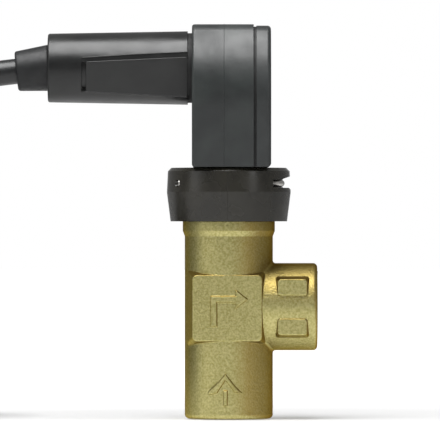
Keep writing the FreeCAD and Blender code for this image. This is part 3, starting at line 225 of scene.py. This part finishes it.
def make_cable():
    """The free cable from the grommet through the coil to its stripped end, as one smooth line."""
    route = [CABLE_EXIT, *LEAD, *coil_turns(), *(on_coil(r, a, TAIL_HEIGHT) for a, r in TAIL)]
    curve = bpy.data.curves.new("signal_cable", "CURVE")
    curve.dimensions = "3D"
    spline = curve.splines.new("NURBS")
    spline.points.add(len(route) - 1)
    for point, place in zip(spline.points, route):
        point.co = (*mm(*place), 1.0)
        # A curve's box is that of its points, grown by their radius, so the points hold the cable's radius and the
        # bevel only passes it on.
        point.radius = CABLE_RADIUS * MM
    spline.order_u = 3
    spline.use_endpoint_u = True
    spline.resolution_u = 6
    curve.bevel_depth = 1.0
    curve.bevel_resolution = 6
    curve.use_fill_caps = True
    cable = add_piece("signal_cable", curve, "head")
    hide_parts("cable_lead", "cable_coil", "cable_tail")
    return cable


tie = make_tie()
cable = make_cable()


# ---- materials: the finishes of this switch -----------------------------------------------------------------------
def tint(tree, vector, dark, light, size, detail=2.0, low=0.35, high=0.65):
    """A colour that drifts between two, in patches of a real size."""
    noise = add(tree, "ShaderNodeTexNoise", {"Vector": vector, "Scale": per_mm(size), "Detail": detail})
    ramp = add(tree, "ShaderNodeValToRGB", {"Fac": noise.outputs["Fac"]})
    ramp.color_ramp.interpolation = "EASE"
    ramp.color_ramp.elements[0].position, ramp.color_ramp.elements[1].position = low, high
    ramp.color_ramp.elements[0].color, ramp.color_ramp.elements[1].color = colour(dark), colour(light)
    return ramp.outputs["Color"]


def drift(tree, vector, size, low, high):
    """A value that drifts between low and high in patches of a real size."""
    noise = add(tree, "ShaderNodeTexNoise", {"Vector": vector, "Scale": per_mm(size), "Detail": 2.0})
    spread = add(
        tree,
        "ShaderNodeMapRange",
        {"Value": noise.outputs["Fac"], "From Min": 0.25, "From Max": 0.75, "To Min": low, "To Max": high},
        interpolation_type="SMOOTHSTEP",
    )
    return spread.outputs["Result"]


def grain(tree, vector, size, depth, detail=2.0, under=None):
    """A bump of a real grain size and depth, laid over another bump if one is given."""
    noise = add(tree, "ShaderNodeTexNoise", {"Vector": vector, "Scale": per_mm(size), "Detail": detail})
    inputs = {"Height": noise.outputs["Fac"], "Distance": depth * MM, "Strength": 1.0}
    if under:
        inputs["Normal"] = under
    return add(tree, "ShaderNodeBump", inputs).outputs["Normal"]


def eased(tree, radius):
    """The surface's own direction with its sharp edges broken by a small round, as a tool or a mould leaves them."""
    return add(tree, "ShaderNodeBevel", {"Radius": radius * MM}, samples=6).outputs["Normal"]


def moulded(name, dark, light, rough, grain_size, grain_depth, edge=0.15, uneven=0.06):
    """An injection-moulded plastic: spark-eroded grain from the tool and faint flow marks in its gloss."""
    material, tree, shader = new_material(name)
    place = add(tree, "ShaderNodeTexCoord").outputs["Object"]
    feed(
        tree,
        shader,
        Base_Color=tint(tree, place, dark, light, 9.0),
        Roughness=drift(tree, place, 6.0, rough - uneven, rough + uneven),
        Normal=grain(tree, place, grain_size, grain_depth, 3.0, under=eased(tree, edge)),
        IOR=1.5,
    )
    return material


def rubber(name, dark, light, rough):
    """Vulcanised NBR: dull, with a bloom that greys it in patches."""
    material, tree, shader = new_material(name)
    place = add(tree, "ShaderNodeTexCoord").outputs["Object"]
    feed(
        tree,
        shader,
        Base_Color=tint(tree, place, dark, light, 3.0, detail=4.0),
        Roughness=drift(tree, place, 2.0, rough - 0.06, rough + 0.06),
        Normal=grain(tree, place, 0.3, 0.008),
        IOR=1.52,
        Specular_IOR_Level=0.4,
    )
    return material


def metal(name, dark, light, rough, grain_size, grain_depth, stretch=(1.0, 1.0, 1.0)):
    """A bare or plated metal; stretch draws the grain out along the way that it was drawn or turned."""
    material, tree, shader = new_material(name)
    place = add(tree, "ShaderNodeTexCoord").outputs["Object"]
    drawn = add(tree, "ShaderNodeMapping", {"Vector": place, "Scale": stretch}).outputs["Vector"]
    feed(
        tree,
        shader,
        Base_Color=tint(tree, place, dark, light, 2.0),
        Metallic=1.0,
        Roughness=drift(tree, place, 1.5, rough - 0.05, rough + 0.07),
        Normal=grain(tree, drawn, grain_size, grain_depth),
    )
    return material


# Where the brass is machined: inside this radius of the run's axis, and of the port's beyond this far along it.
MACHINED_RADIUS = 10.75
PORT_HEIGHT, PORT_BORE_X = 33.0, 12.5


def cast_brass():
    """CW617N brass, cast and shot-blasted: matt and granular, with painted shade that browns and darkens faces turned
    away from light from the left and below; its bores are machined.
    """
    material, tree, shader = new_material("cast_brass")
    place = add(tree, "ShaderNodeTexCoord").outputs["Object"]
    parts = add(tree, "ShaderNodeSeparateXYZ", {"Vector": place})
    x, y, z = (parts.outputs[axis] for axis in "XYZ")
    over_port = add(tree, "ShaderNodeMath", {0: z, 1: PORT_HEIGHT * MM}, operation="SUBTRACT").outputs[0]
    run = add(tree, "ShaderNodeCombineXYZ", {"X": x, "Y": y})
    port = add(tree, "ShaderNodeCombineXYZ", {"Y": y, "Z": over_port})
    outside = []
    for from_axis in (run, port):
        away = add(tree, "ShaderNodeVectorMath", {0: from_axis.outputs[0]}, operation="LENGTH").outputs["Value"]
        beyond = add(tree, "ShaderNodeMath", {0: away, 1: MACHINED_RADIUS * MM}, operation="GREATER_THAN")
        outside.append(beyond.outputs[0])
    before_port = add(tree, "ShaderNodeMath", {0: x, 1: PORT_BORE_X * MM}, operation="LESS_THAN").outputs[0]
    beside_port = add(tree, "ShaderNodeMath", {0: outside[1], 1: before_port}, operation="MAXIMUM").outputs[0]
    blasted = add(tree, "ShaderNodeMath", {0: outside[0], 1: beside_port}, operation="MULTIPLY").outputs[0]
    # Shot marks about 0.35 mm wide, drawn a little coarser than real ones so that they show.
    shot = add(tree, "ShaderNodeTexNoise", {"Vector": place, "Scale": per_mm(0.6), "Detail": 3.0, "Roughness": 0.6})
    skin = add(tree, "ShaderNodeTexNoise", {"Vector": place, "Scale": per_mm(2.2), "Detail": 3.0})
    shot_depth = add(tree, "ShaderNodeMath", {0: shot.outputs["Fac"], 1: blasted}, operation="MULTIPLY")
    skin_bump = add(
        tree,
        "ShaderNodeBump",
        {"Height": skin.outputs["Fac"], "Distance": 0.12 * MM, "Strength": 0.6, "Normal": eased(tree, 0.35)},
    )
    bump = add(
        tree,
        "ShaderNodeBump",
        {
            "Height": shot_depth.outputs[0],
            "Distance": 0.17 * MM,
            "Strength": 0.8,
            "Normal": skin_bump.outputs["Normal"],
        },
    )
    # Painted shade: faces turned away from light falling from the left and below, on the front and the back alike, are
    # painted a darker brown.
    normal = add(tree, "ShaderNodeNewGeometry").outputs["Normal"]
    either_side = add(tree, "ShaderNodeVectorMath", {0: normal}, operation="ABSOLUTE")
    across = add(
        tree, "ShaderNodeVectorMath", {0: either_side.outputs["Vector"], 1: (0.0, 0.5, 0.0)}, operation="DOT_PRODUCT"
    )
    along = add(tree, "ShaderNodeVectorMath", {0: normal, 1: (-0.6, 0.0, -0.62)}, operation="DOT_PRODUCT")
    turned_to_light = add(tree, "ShaderNodeMath", {0: across.outputs["Value"], 1: along.outputs["Value"]})
    painted_shade_share = add(
        tree,
        "ShaderNodeMapRange",
        {"Value": turned_to_light.outputs["Value"], "From Min": 0.48, "From Max": 0.18, "To Min": 0.0, "To Max": 0.6},
    )
    brass_tone = tint(tree, place, "#A69E62", "#C4BC84", 0.6, detail=4.0, low=0.3, high=0.7)
    # Painted shade: the brass's own tone is mixed towards dark brown by that share.
    painted_shade_brass = add(
        tree,
        "ShaderNodeMix",
        {"Factor": painted_shade_share.outputs["Result"], "A": brass_tone, "B": colour("#846828")},
        data_type="RGBA",
    )
    rough = add(tree, "ShaderNodeMapRange", {"Value": blasted, "To Min": 0.24, "To Max": 0.42})
    feed(
        tree,
        shader,
        Base_Color=painted_shade_brass.outputs["Result"],
        Metallic=1.0,
        Specular_Tint=colour("#A88648"),
        Roughness=rough.outputs["Result"],
        Normal=bump.outputs["Normal"],
    )
    return material


def circuit_board():
    """FR-4 laminate under green solder mask, with copper tracks that stand a hair proud."""
    material, tree, shader = new_material("fr4_solder_mask")
    place = add(tree, "ShaderNodeTexCoord").outputs["Object"]
    tracks = add(
        tree,
        "ShaderNodeTexBrick",
        {
            "Vector": add(tree, "ShaderNodeMapping", {"Vector": place, "Rotation": (0, math.pi / 2, 0)}).outputs[0],
            "Color1": colour("#0F4A28"),
            "Color2": colour("#125530"),
            "Mortar": colour("#1C6B3D"),
            "Scale": per_mm(10.0),
            "Mortar Size": 0.05,
        },
    )
    bump = add(tree, "ShaderNodeBump", {"Height": tracks.outputs["Fac"], "Distance": 0.035 * MM})
    feed(
        tree, shader, Base_Color=tracks.outputs["Color"], Roughness=0.3, Normal=bump.outputs["Normal"], IOR=1.55
    )
    return material


def reed_glass():
    """Soda-lead glass drawn into a thin tube, a little green."""
    material, tree, shader = new_material("reed_switch_glass")
    place = add(tree, "ShaderNodeTexCoord").outputs["Object"]
    feed(
        tree,
        shader,
        Base_Color=tint(tree, place, "#CFE3D2", "#E4F1E4", 4.0),
        Roughness=0.04,
        Transmission_Weight=1.0,
        IOR=1.5,
        Normal=grain(tree, place, 3.0, 0.01),
    )
    return material


def resistor_lacquer():
    """Tan lacquer with four value bands across the body."""
    tan, band_width = colour("#C9A777"), 0.08
    material, tree, shader = new_material("resistor_lacquer")
    place = add(tree, "ShaderNodeTexCoord").outputs["Object"]
    lengthways = add(tree, "ShaderNodeSeparateXYZ", {"Vector": place}).outputs["Y"]
    along = add(
        tree,
        "ShaderNodeMapRange",
        {"Value": lengthways, "From Min": -3.2 * MM, "From Max": 3.2 * MM, "To Min": 0.0, "To Max": 1.0},
    )
    bands = add(tree, "ShaderNodeValToRGB", {"Fac": along.outputs["Result"]})
    stops = bands.color_ramp
    stops.interpolation = "CONSTANT"
    stops.elements[0].color = tan
    stops.elements[1].position, stops.elements[1].color = 0.92, tan
    for start, band in ((0.14, "#6B3A1C"), (0.3, "#1B1B1B"), (0.46, "#C8641E"), (0.74, "#B08D32")):
        stops.elements.new(start).color = colour(band)
        stops.elements.new(start + band_width).color = tan
    feed(tree, shader, Base_Color=bands.outputs["Color"], Roughness=0.28, Normal=grain(tree, place, 0.8, 0.02))
    return material


def cable_jacket():
    """Extruded soft PVC: half gloss, with fine lines left by the die and a slightly uneven skin."""
    material, tree, shader = new_material("pvc_cable_jacket")
    place = add(tree, "ShaderNodeTexCoord").outputs["Object"]
    feed(
        tree,
        shader,
        Base_Color=tint(tree, place, "#111213", "#18191A", 5.0),
        Roughness=drift(tree, place, 4.0, 0.3, 0.38),
        Normal=grain(tree, place, 0.6, 0.012, 3.0),
        IOR=1.53,
    )
    return material


# A moulding's and a metal's numbers are its roughness and its grain's size and depth in millimetres.
finishes = {
    "brass": cast_brass(),
    # Glass-filled PPS, near black.
    "carrier_plastic": moulded("pps_carrier", "#1A1A1A", "#242424", 0.5, 0.25, 0.01),
    "seal_rubber": rubber("nbr_seal", "#131313", "#1C1C1C", 0.55),
    "stainless": metal("ground_stainless", "#A9A9A6", "#C2C2C0", 0.28, 0.12, 0.003, (1.0, 6.0, 1.0)),
    "washer_white": moulded("ptfe_washer", "#DAD8D2", "#ECEAE5", 0.45, 0.3, 0.006),
    "magnet_nickel": metal("nickel_plate", "#A8A49C", "#C4C0B8", 0.2, 0.3, 0.003),
    "lever_plastic": moulded("pom_lever", "#2A2A2B", "#353536", 0.36, 0.25, 0.006),
    # Glass-filled polyamide: warm black, glossy from a polished tool, with a deeper grain from its fibres.
    "collar_plastic": moulded("pa_gf_collar", "#211F19", "#2A2821", 0.25, 0.3, 0.016),
    "spring_wire": metal("drawn_spring_wire", "#9E9C98", "#B9B7B2", 0.34, 0.15, 0.002, (0.2, 1.0, 1.0)),
    # ABS moulded against a fine matt tool: cool dark grey with a silky sheen.
    "housing_grey": moulded("abs_housing", "#252828", "#2E3231", 0.37, 0.35, 0.012, edge=0.25, uneven=0.08),
    "cover_grey": moulded("abs_cover", "#282B2B", "#313434", 0.37, 0.35, 0.012, edge=0.25),
    "gasket_rubber": rubber("nbr_flat_gasket", "#111111", "#191919", 0.6),
    "zinc_screw": metal("zinc_plated_steel", "#A5A7A3", "#C0C2BE", 0.3, 0.2, 0.004),
    "board_green": circuit_board(),
    "reed_glass": reed_glass(),
    "tinned_wire": metal("tinned_copper", "#B5B3AD", "#CBC9C4", 0.25, 0.2, 0.003),
    "resistor_tan": resistor_lacquer(),
    "terminal_green": moulded("pa_terminal_block", "#1F6B40", "#277A4B", 0.32, 0.3, 0.006),
    "tube_black": moulded("abs_tube", "#0F1010", "#171817", 0.34, 0.35, 0.01, edge=0.25),
    "locknut_brass": metal("nickel_plated_brass", "#B0AA98", "#C8C3B2", 0.25, 0.25, 0.004),
    "clamp_plastic": moulded("natural_polyamide", "#C9C6BC", "#DAD7CD", 0.42, 0.3, 0.006),
    "cable_black": cable_jacket(),
    "grommet_rubber": rubber("tpe_grommet", "#131415", "#1B1C1D", 0.5),
    "core_brown": moulded("pvc_core_brown", "#54301B", "#5E3820", 0.32, 0.4, 0.004),
    "core_black": moulded("pvc_core_black", "#141414", "#1D1D1D", 0.32, 0.4, 0.004),
    "core_blue": moulded("pvc_core_blue", "#23498A", "#2B5499", 0.32, 0.4, 0.004),
    "tie_black": moulded("nylon_tie", "#121212", "#1A1A1A", 0.4, 0.4, 0.004),
}
slot_of = {part["node"]: part["material_slot"] for part in frame["record"]["subparts"]}
for name, node in nodes.items():
    for slot in node.material_slots:
        slot.material = finishes[slot_of[name]]
cable.data.materials.append(finishes["cable_black"])
tie.data.materials.append(finishes["tie_black"])


# ---- geometry node pieces -----------------------------------------------------------------------------------------
def node_tree_for(name, sizes):
    """A geometry node tree with named size inputs and a material input; returns it, its input and its output."""
    tree = bpy.data.node_groups.new(name, "GeometryNodeTree")
    for size, value in sizes.items():
        made = tree.interface.new_socket(size, in_out="INPUT", socket_type="NodeSocketFloat")
        made.default_value = value
    tree.interface.new_socket("Finish", in_out="INPUT", socket_type="NodeSocketMaterial")
    tree.interface.new_socket("Geometry", in_out="OUTPUT", socket_type="NodeSocketGeometry")
    return tree, tree.nodes.new("NodeGroupInput").outputs, tree.nodes.new("NodeGroupOutput")


def close_tree(tree, shape, given, result):
    """Ends a tree: what it made is real geometry, in the finish that it was given."""
    real = add(tree, "GeometryNodeRealizeInstances", {"Geometry": shape})
    painted = add(tree, "GeometryNodeSetMaterial", {"Geometry": real.outputs[0], "Material": given["Finish"]})
    tree.links.new(painted.outputs["Geometry"], result.inputs["Geometry"])


def grow(name, tree, sizes, body, slot, place=None, source=None):
    """Runs a tree with these sizes, keeps its result as a plain mesh in its place, and lets it ride on a body."""
    holder = bpy.data.objects.new(name, source or bpy.data.meshes.new(name))
    scene.collection.objects.link(holder)
    modifier = holder.modifiers.new("shape", "NODES")
    modifier.node_group = tree
    for item in tree.interface.items_tree:
        if item.in_out == "INPUT" and item.name in sizes:
            modifier[item.identifier] = sizes[item.name]
        elif item.in_out == "INPUT" and item.name == "Finish":
            modifier[item.identifier] = finishes[slot]
    bpy.context.view_layer.update()
    shape = bpy.data.meshes.new_from_object(holder.evaluated_get(bpy.context.evaluated_depsgraph_get()))
    bpy.data.objects.remove(holder)
    if place:
        shape.transform(place)
    shape.name = name
    shape.shade_smooth()
    add_piece(name, shape, body)


# G 1/2: 14 turns to the inch.
THREAD_SIZES = {"Wall": 10.48 * MM, "Ridge": 1.1 * MM, "Pitch": 1.814 * MM}
INLET_THREAD_LONG, INLET_THREAD_START = 12.0, 1.0
OUTLET_THREAD_LONG, OUTLET_THREAD_END_X = 10.2, 25.2


def thread_tree():
    """One ridge of pipe thread wound along a bore; half of its diamond section is sunk in the wall."""
    tree, given, result = node_tree_for("pipe_thread", {**THREAD_SIZES, "Length": INLET_THREAD_LONG * MM})
    turns = add(tree, "ShaderNodeMath", {0: given["Length"], 1: given["Pitch"]}, operation="DIVIDE")
    spiral = add(
        tree,
        "GeometryNodeCurveSpiral",
        {
            "Resolution": 64,
            "Rotations": turns.outputs[0],
            "Start Radius": given["Wall"],
            "End Radius": given["Wall"],
            "Height": given["Length"],
        },
    )
    upright = add(tree, "GeometryNodeSetCurveNormal", {"Curve": spiral.outputs["Curve"]}, mode="Z_UP")
    base = add(tree, "ShaderNodeMath", {0: given["Pitch"], 1: 0.9}, operation="MULTIPLY")
    section = add(
        tree,
        "GeometryNodeCurvePrimitiveQuadrilateral",
        {"Width": base.outputs[0], "Bottom Height": given["Ridge"], "Top Height": given["Ridge"]},
        mode="KITE",
    )
    ridge = add(
        tree,
        "GeometryNodeCurveToMesh",
        {"Curve": upright.outputs["Curve"], "Profile Curve": section.outputs["Curve"], "Fill Caps": True},
    )
    close_tree(tree, ridge.outputs["Mesh"], given, result)
    return tree


def bead_tree():
    """A fine bead along a line, such as the witness where two halves of a mould met."""
    tree, given, result = node_tree_for("parting_bead", {"Radius": 0.1 * MM})
    tree.interface.new_socket("Line", in_out="INPUT", socket_type="NodeSocketGeometry")
    tree.interface.move(tree.interface.items_tree["Line"], 0)
    given = tree.nodes["Group Input"].outputs
    line = add(tree, "GeometryNodeMeshToCurve", {"Mesh": given["Line"]})
    section = add(tree, "GeometryNodeCurvePrimitiveCircle", {"Resolution": 8, "Radius": given["Radius"]})
    bead = add(
        tree,
        "GeometryNodeCurveToMesh",
        {"Curve": line.outputs["Curve"], "Profile Curve": section.outputs["Curve"], "Fill Caps": True},
    )
    close_tree(tree, bead.outputs["Mesh"], given, result)
    return tree


def line_mesh(name, places):
    """A bare line of edges through places given in millimetres."""
    shape = bpy.data.meshes.new(name)
    shape.from_pydata([mm(*place) for place in places], [(i, i + 1) for i in range(len(places) - 1)], [])
    return shape


threads = thread_tree()
inlet = Matrix.Translation(mm(0, 0, INLET_THREAD_START))
outlet = Matrix.Translation(mm(OUTLET_THREAD_END_X, 0, PORT_HEIGHT)) @ Matrix.Rotation(math.radians(-90), 4, "Y")
grow("inlet_thread", threads, {"Length": INLET_THREAD_LONG * MM}, "root", "brass", inlet)
grow("outlet_thread", threads, {"Length": OUTLET_THREAD_LONG * MM}, "root", "brass", outlet)


# ---- parting lines of the mouldings -------------------------------------------------------------------------------
# Each bead's radius, and how far its middle is sunk in the surface that it lies on.
HOUSING_BEAD, HOUSING_BEAD_SUNK = 0.11, 0.04
COLLAR_BEAD, COLLAR_BEAD_SUNK = 0.13, 0.05
RIM_BEAD = 0.2
HOUSING_SEAM_X, COLLAR_SEAM_X = -1.4, -0.4
# The housing's outline from the side.
ARCH_RADIUS, ARCH_HEIGHT, FLANK = 20.9, 95.3, 8.75
SHOULDER_RADIUS, SHOULDER_ANGLE = 6.3, 46.0
HEAD_BASE, FOOT_CLEAR = 74.2, 0.3
SIDE_STEPS, SHOULDER_STEPS = 24, 12


def arch_line(x, sunk):
    """Points round the housing's outline at x, a little below its surface: foot, flank, bulging side, shoulder, top."""
    slope, turn = math.radians(FLANK), math.radians(SHOULDER_ANGLE)
    side = (ARCH_RADIUS - SHOULDER_RADIUS * (1 - math.sin(turn))) / math.sin(turn)
    across = ARCH_RADIUS - side
    foot_up = HEAD_BASE + FOOT_CLEAR
    half = across + (side - sunk) / math.cos(slope) - (ARCH_HEIGHT - foot_up) * math.tan(slope)
    places = [(x, half, foot_up)]
    for i in range(SIDE_STEPS + 1):
        angle = -slope + (turn + slope) * i / SIDE_STEPS
        reach = side - sunk
        places.append((x, across + reach * math.cos(angle), ARCH_HEIGHT + reach * math.sin(angle)))
    step = side - SHOULDER_RADIUS
    middle = (across + step * math.cos(turn), ARCH_HEIGHT + step * math.sin(turn))
    for i in range(1, SHOULDER_STEPS + 1):
        angle = turn + (math.pi / 2 - turn) * i / SHOULDER_STEPS
        reach = SHOULDER_RADIUS - sunk
        places.append((x, middle[0] + reach * math.cos(angle), middle[1] + reach * math.sin(angle)))
    return places + [(x, -y, z) for x, y, z in reversed(places)]


beads = bead_tree()


def lay_bead(name, radius, body, slot, line):
    """A bead along a line of places."""
    grow(name, beads, {"Radius": radius * MM}, body, slot, source=line_mesh(name + "_path", line))


housing_line = arch_line(HOUSING_SEAM_X, HOUSING_BEAD_SUNK)
lay_bead("housing_parting_line", HOUSING_BEAD, "head", "housing_grey", housing_line)
# The mould left a fine rim along the edges of the two spanner flats. The back one is the front one turned half round.
TUBE_HEIGHT = 103.5
FLAT_EDGES = {
    "upper": [(-43.0, -9.94, 106.3), (-27.8, -9.88, 107.32), (-12.4, -9.88, 108.0)],
    "middle": [(-41.8, -10.18, 105.0), (-27.1, -10.17, 105.68), (-12.4, -10.17, 106.35)],
    "lower": [(-43.0, -7.47, 96.38), (-27.8, -6.99, 95.54), (-12.4, -6.54, 94.84)],
}
for edge, places in FLAT_EDGES.items():
    back = [(x, -y, 2 * TUBE_HEIGHT - z) for x, y, z in places]
    for side, line in (("front", places), ("back", back)):
        lay_bead(f"{side}_flat_{edge}_rim", RIM_BEAD, "head", "tube_black", line)
# The collar's outline, as radius and height.
COLLAR_PROFILE = [(17.2, 58.4), (18.3, 66.9), (18.0, 72.9)]
for side, way in (("front", -1), ("back", 1)):
    line = [(COLLAR_SEAM_X, way * (radius - COLLAR_BEAD_SUNK), height) for radius, height in COLLAR_PROFILE]
    lay_bead(f"collar_parting_line_{side}", COLLAR_BEAD, "root", "collar_plastic", line)


# ---- the grommet's root -------------------------------------------------------------------------------------------
# The grommet's wide end and its taper in millimetres of radius per millimetre of length.
GROMMET_BASE, GROMMET_BASE_RADIUS, GROMMET_TAPER = (-53.4, 0.0, TUBE_HEIGHT), 6.8, 0.101
# The root ends just inside the tube's end. Its front edge is this far along the grommet and this much under its skin.
ROOT_END_X = -53.25
ROOT_FRONT, ROOT_SUNK = 0.9, 0.05
ROOT_STEPS = 64


def make_grommet_root():
    """The wedge of rubber between the tilted grommet and the tube's end, in the line of the grommet's taper."""
    base = Vector(GROMMET_BASE)
    heading = (Vector(CABLE_EXIT) - base).normalized()
    side = Vector((0.0, 1.0, 0.0))
    up = side.cross(heading).normalized()
    front_radius = GROMMET_BASE_RADIUS - GROMMET_TAPER * ROOT_FRONT - ROOT_SUNK
    shape = bmesh.new()
    front, back = [], []
    for i in range(ROOT_STEPS):
        turn = 2 * math.pi * i / ROOT_STEPS
        spoke = up * math.cos(turn) + side * math.sin(turn)
        # The taper meets the end's plane where this settles, and three rounds are enough.
        radius = GROMMET_BASE_RADIUS
        for _ in range(3):
            along = (ROOT_END_X - base.x - radius * spoke.x) / heading.x
            radius = GROMMET_BASE_RADIUS - GROMMET_TAPER * along
        back.append(shape.verts.new((base + heading * along + spoke * radius) * MM))
        front.append(shape.verts.new((base + heading * ROOT_FRONT + spoke * front_radius) * MM))
    for i in range(ROOT_STEPS):
        after = (i + 1) % ROOT_STEPS
        shape.faces.new((front[i], front[after], back[after], back[i])).smooth = True
    shape.faces.new(front)
    shape.faces.new(back)
    wedge = closed_mesh("grommet_root", shape)
    wedge.materials.append(finishes["grommet_rubber"])
    add_piece("grommet_root", wedge, "head")


make_grommet_root()


# ---- floor, light and background ----------------------------------------------------------------------------------
WHITE = (1.0, 1.0, 1.0, 1.0)
FLOOR_HALF = 6.0
FLOOR_UNDER = 0.2
FLOOR_PAPER = (0.55, 0.55, 0.55, 1.0)
# How bright the floor is to the eye and through glass, and in a reflection: from and to how far from the object in
# metres, and from and to which share of white.
FLOOR_SEEN = (0.1, 0.5, 0.3, 1.0)
FLOOR_REFLECTED = (0.05, 0.25, 0.5, 0.1)


def make_floor():
    """A plain pale floor: it takes the object's shadow near it, and turns white further away for the camera alone."""
    shape = bpy.data.meshes.new("floor")
    corners = [(x * FLOOR_HALF, y * FLOOR_HALF, 0) for x, y in ((-1, -1), (1, -1), (1, 1), (-1, 1))]
    shape.from_pydata(corners, [], [(0, 1, 2, 3)])
    shape.transform(Matrix.Translation(mm(0, 0, -FLOOR_UNDER)))
    floor = bpy.data.objects.new("floor", shape)
    scene.collection.objects.link(floor)
    material, tree, shader = new_material("floor_paper")
    tree.nodes.remove(shader)
    path = add(tree, "ShaderNodeLightPath").outputs
    seen = add(tree, "ShaderNodeMath", {0: path["Is Camera Ray"], 1: path["Is Transmission Ray"]}, operation="MAXIMUM")
    place = add(tree, "ShaderNodeTexCoord").outputs["Object"]
    away = add(tree, "ShaderNodeVectorMath", {0: place}, operation="LENGTH")
    shares = []
    for ray, (near, far, start, end) in ((seen.outputs[0], FLOOR_SEEN), (path["Is Glossy Ray"], FLOOR_REFLECTED)):
        lit = add(
            tree,
            "ShaderNodeMapRange",
            {"Value": away.outputs["Value"], "From Min": near, "From Max": far, "To Min": start, "To Max": end},
        )
        shares.append(add(tree, "ShaderNodeMath", {0: ray, 1: lit.outputs["Result"]}, operation="MULTIPLY").outputs[0])
    glow = add(tree, "ShaderNodeMath", {0: shares[0], 1: shares[1]}, operation="ADD")
    paper = add(tree, "ShaderNodeBsdfDiffuse", {"Color": FLOOR_PAPER})
    light = add(tree, "ShaderNodeEmission", {"Color": WHITE, "Strength": glow.outputs[0]})
    both = add(tree, "ShaderNodeAddShader", {0: paper.outputs[0], 1: light.outputs[0]})
    tree.links.new(both.outputs[0], tree.nodes["Material Output"].inputs["Surface"])
    shape.materials.append(material)


# Each lamp's power in watts, its width and height, its place, and the point that it faces, all in metres.
SOFTBOXES = {
    "overhead_softbox": (9.3, (0.52, 0.65), (-0.16, -0.275, 0.75), (-0.16, -0.275, 0.08)),
    "left_softbox": (0.9, (0.5, 0.6), (-1.1, -0.5, 0.3), (0.0, 0.0, 0.06)),
    "right_softbox": (0.9, (0.2, 0.7), (0.9, -0.87, 0.35), (0.0, 0.0, 0.06)),
}


def make_softbox(name, power, size, place, target):
    """A soft rectangular lamp that faces a point."""
    lamp = bpy.data.lights.new(name, "AREA")
    lamp.energy = power
    lamp.shape = "RECTANGLE"
    lamp.size, lamp.size_y = size
    holder = bpy.data.objects.new(name, lamp)
    scene.collection.objects.link(holder)
    holder.location = place
    holder.rotation_euler = (Vector(target) - Vector(place)).to_track_quat("-Z", "Y").to_euler()


# The room's light as a share of white, and how nearly straight behind the object its reflected white part begins.
ROOM_LIGHT, BEHIND = 0.3, 0.95


def make_world():
    """A dim, even room. The camera and glass see it white, and gloss sees only the part straight behind white."""
    world = bpy.data.worlds.new("studio")
    scene.world = world
    world.use_nodes = True
    tree = world.node_tree
    tree.nodes.clear()
    path = add(tree, "ShaderNodeLightPath").outputs
    direction = add(tree, "ShaderNodeSeparateXYZ", {"Vector": add(tree, "ShaderNodeTexCoord").outputs["Generated"]})
    behind = add(tree, "ShaderNodeMapRange", {"Value": direction.outputs["Y"], "From Min": BEHIND, "From Max": 1.0})
    gloss = add(tree, "ShaderNodeMath", {0: path["Is Glossy Ray"], 1: behind.outputs["Result"]}, operation="MULTIPLY")
    seen = add(tree, "ShaderNodeMath", {0: path["Is Camera Ray"], 1: path["Is Transmission Ray"]}, operation="MAXIMUM")
    share = add(tree, "ShaderNodeMath", {0: seen.outputs[0], 1: gloss.outputs[0]}, operation="MAXIMUM")
    strength = add(tree, "ShaderNodeMapRange", {"Value": share.outputs[0], "To Min": ROOM_LIGHT, "To Max": 1.0})
    sky = add(tree, "ShaderNodeBackground", {"Color": WHITE, "Strength": strength.outputs["Result"]})
    add(tree, "ShaderNodeOutputWorld", {"Surface": sky.outputs[0]})


make_floor()
for name, (power, size, place, target) in SOFTBOXES.items():
    make_softbox(name, power, size, place, target)
make_world()
scene.view_settings.view_transform = "Standard"
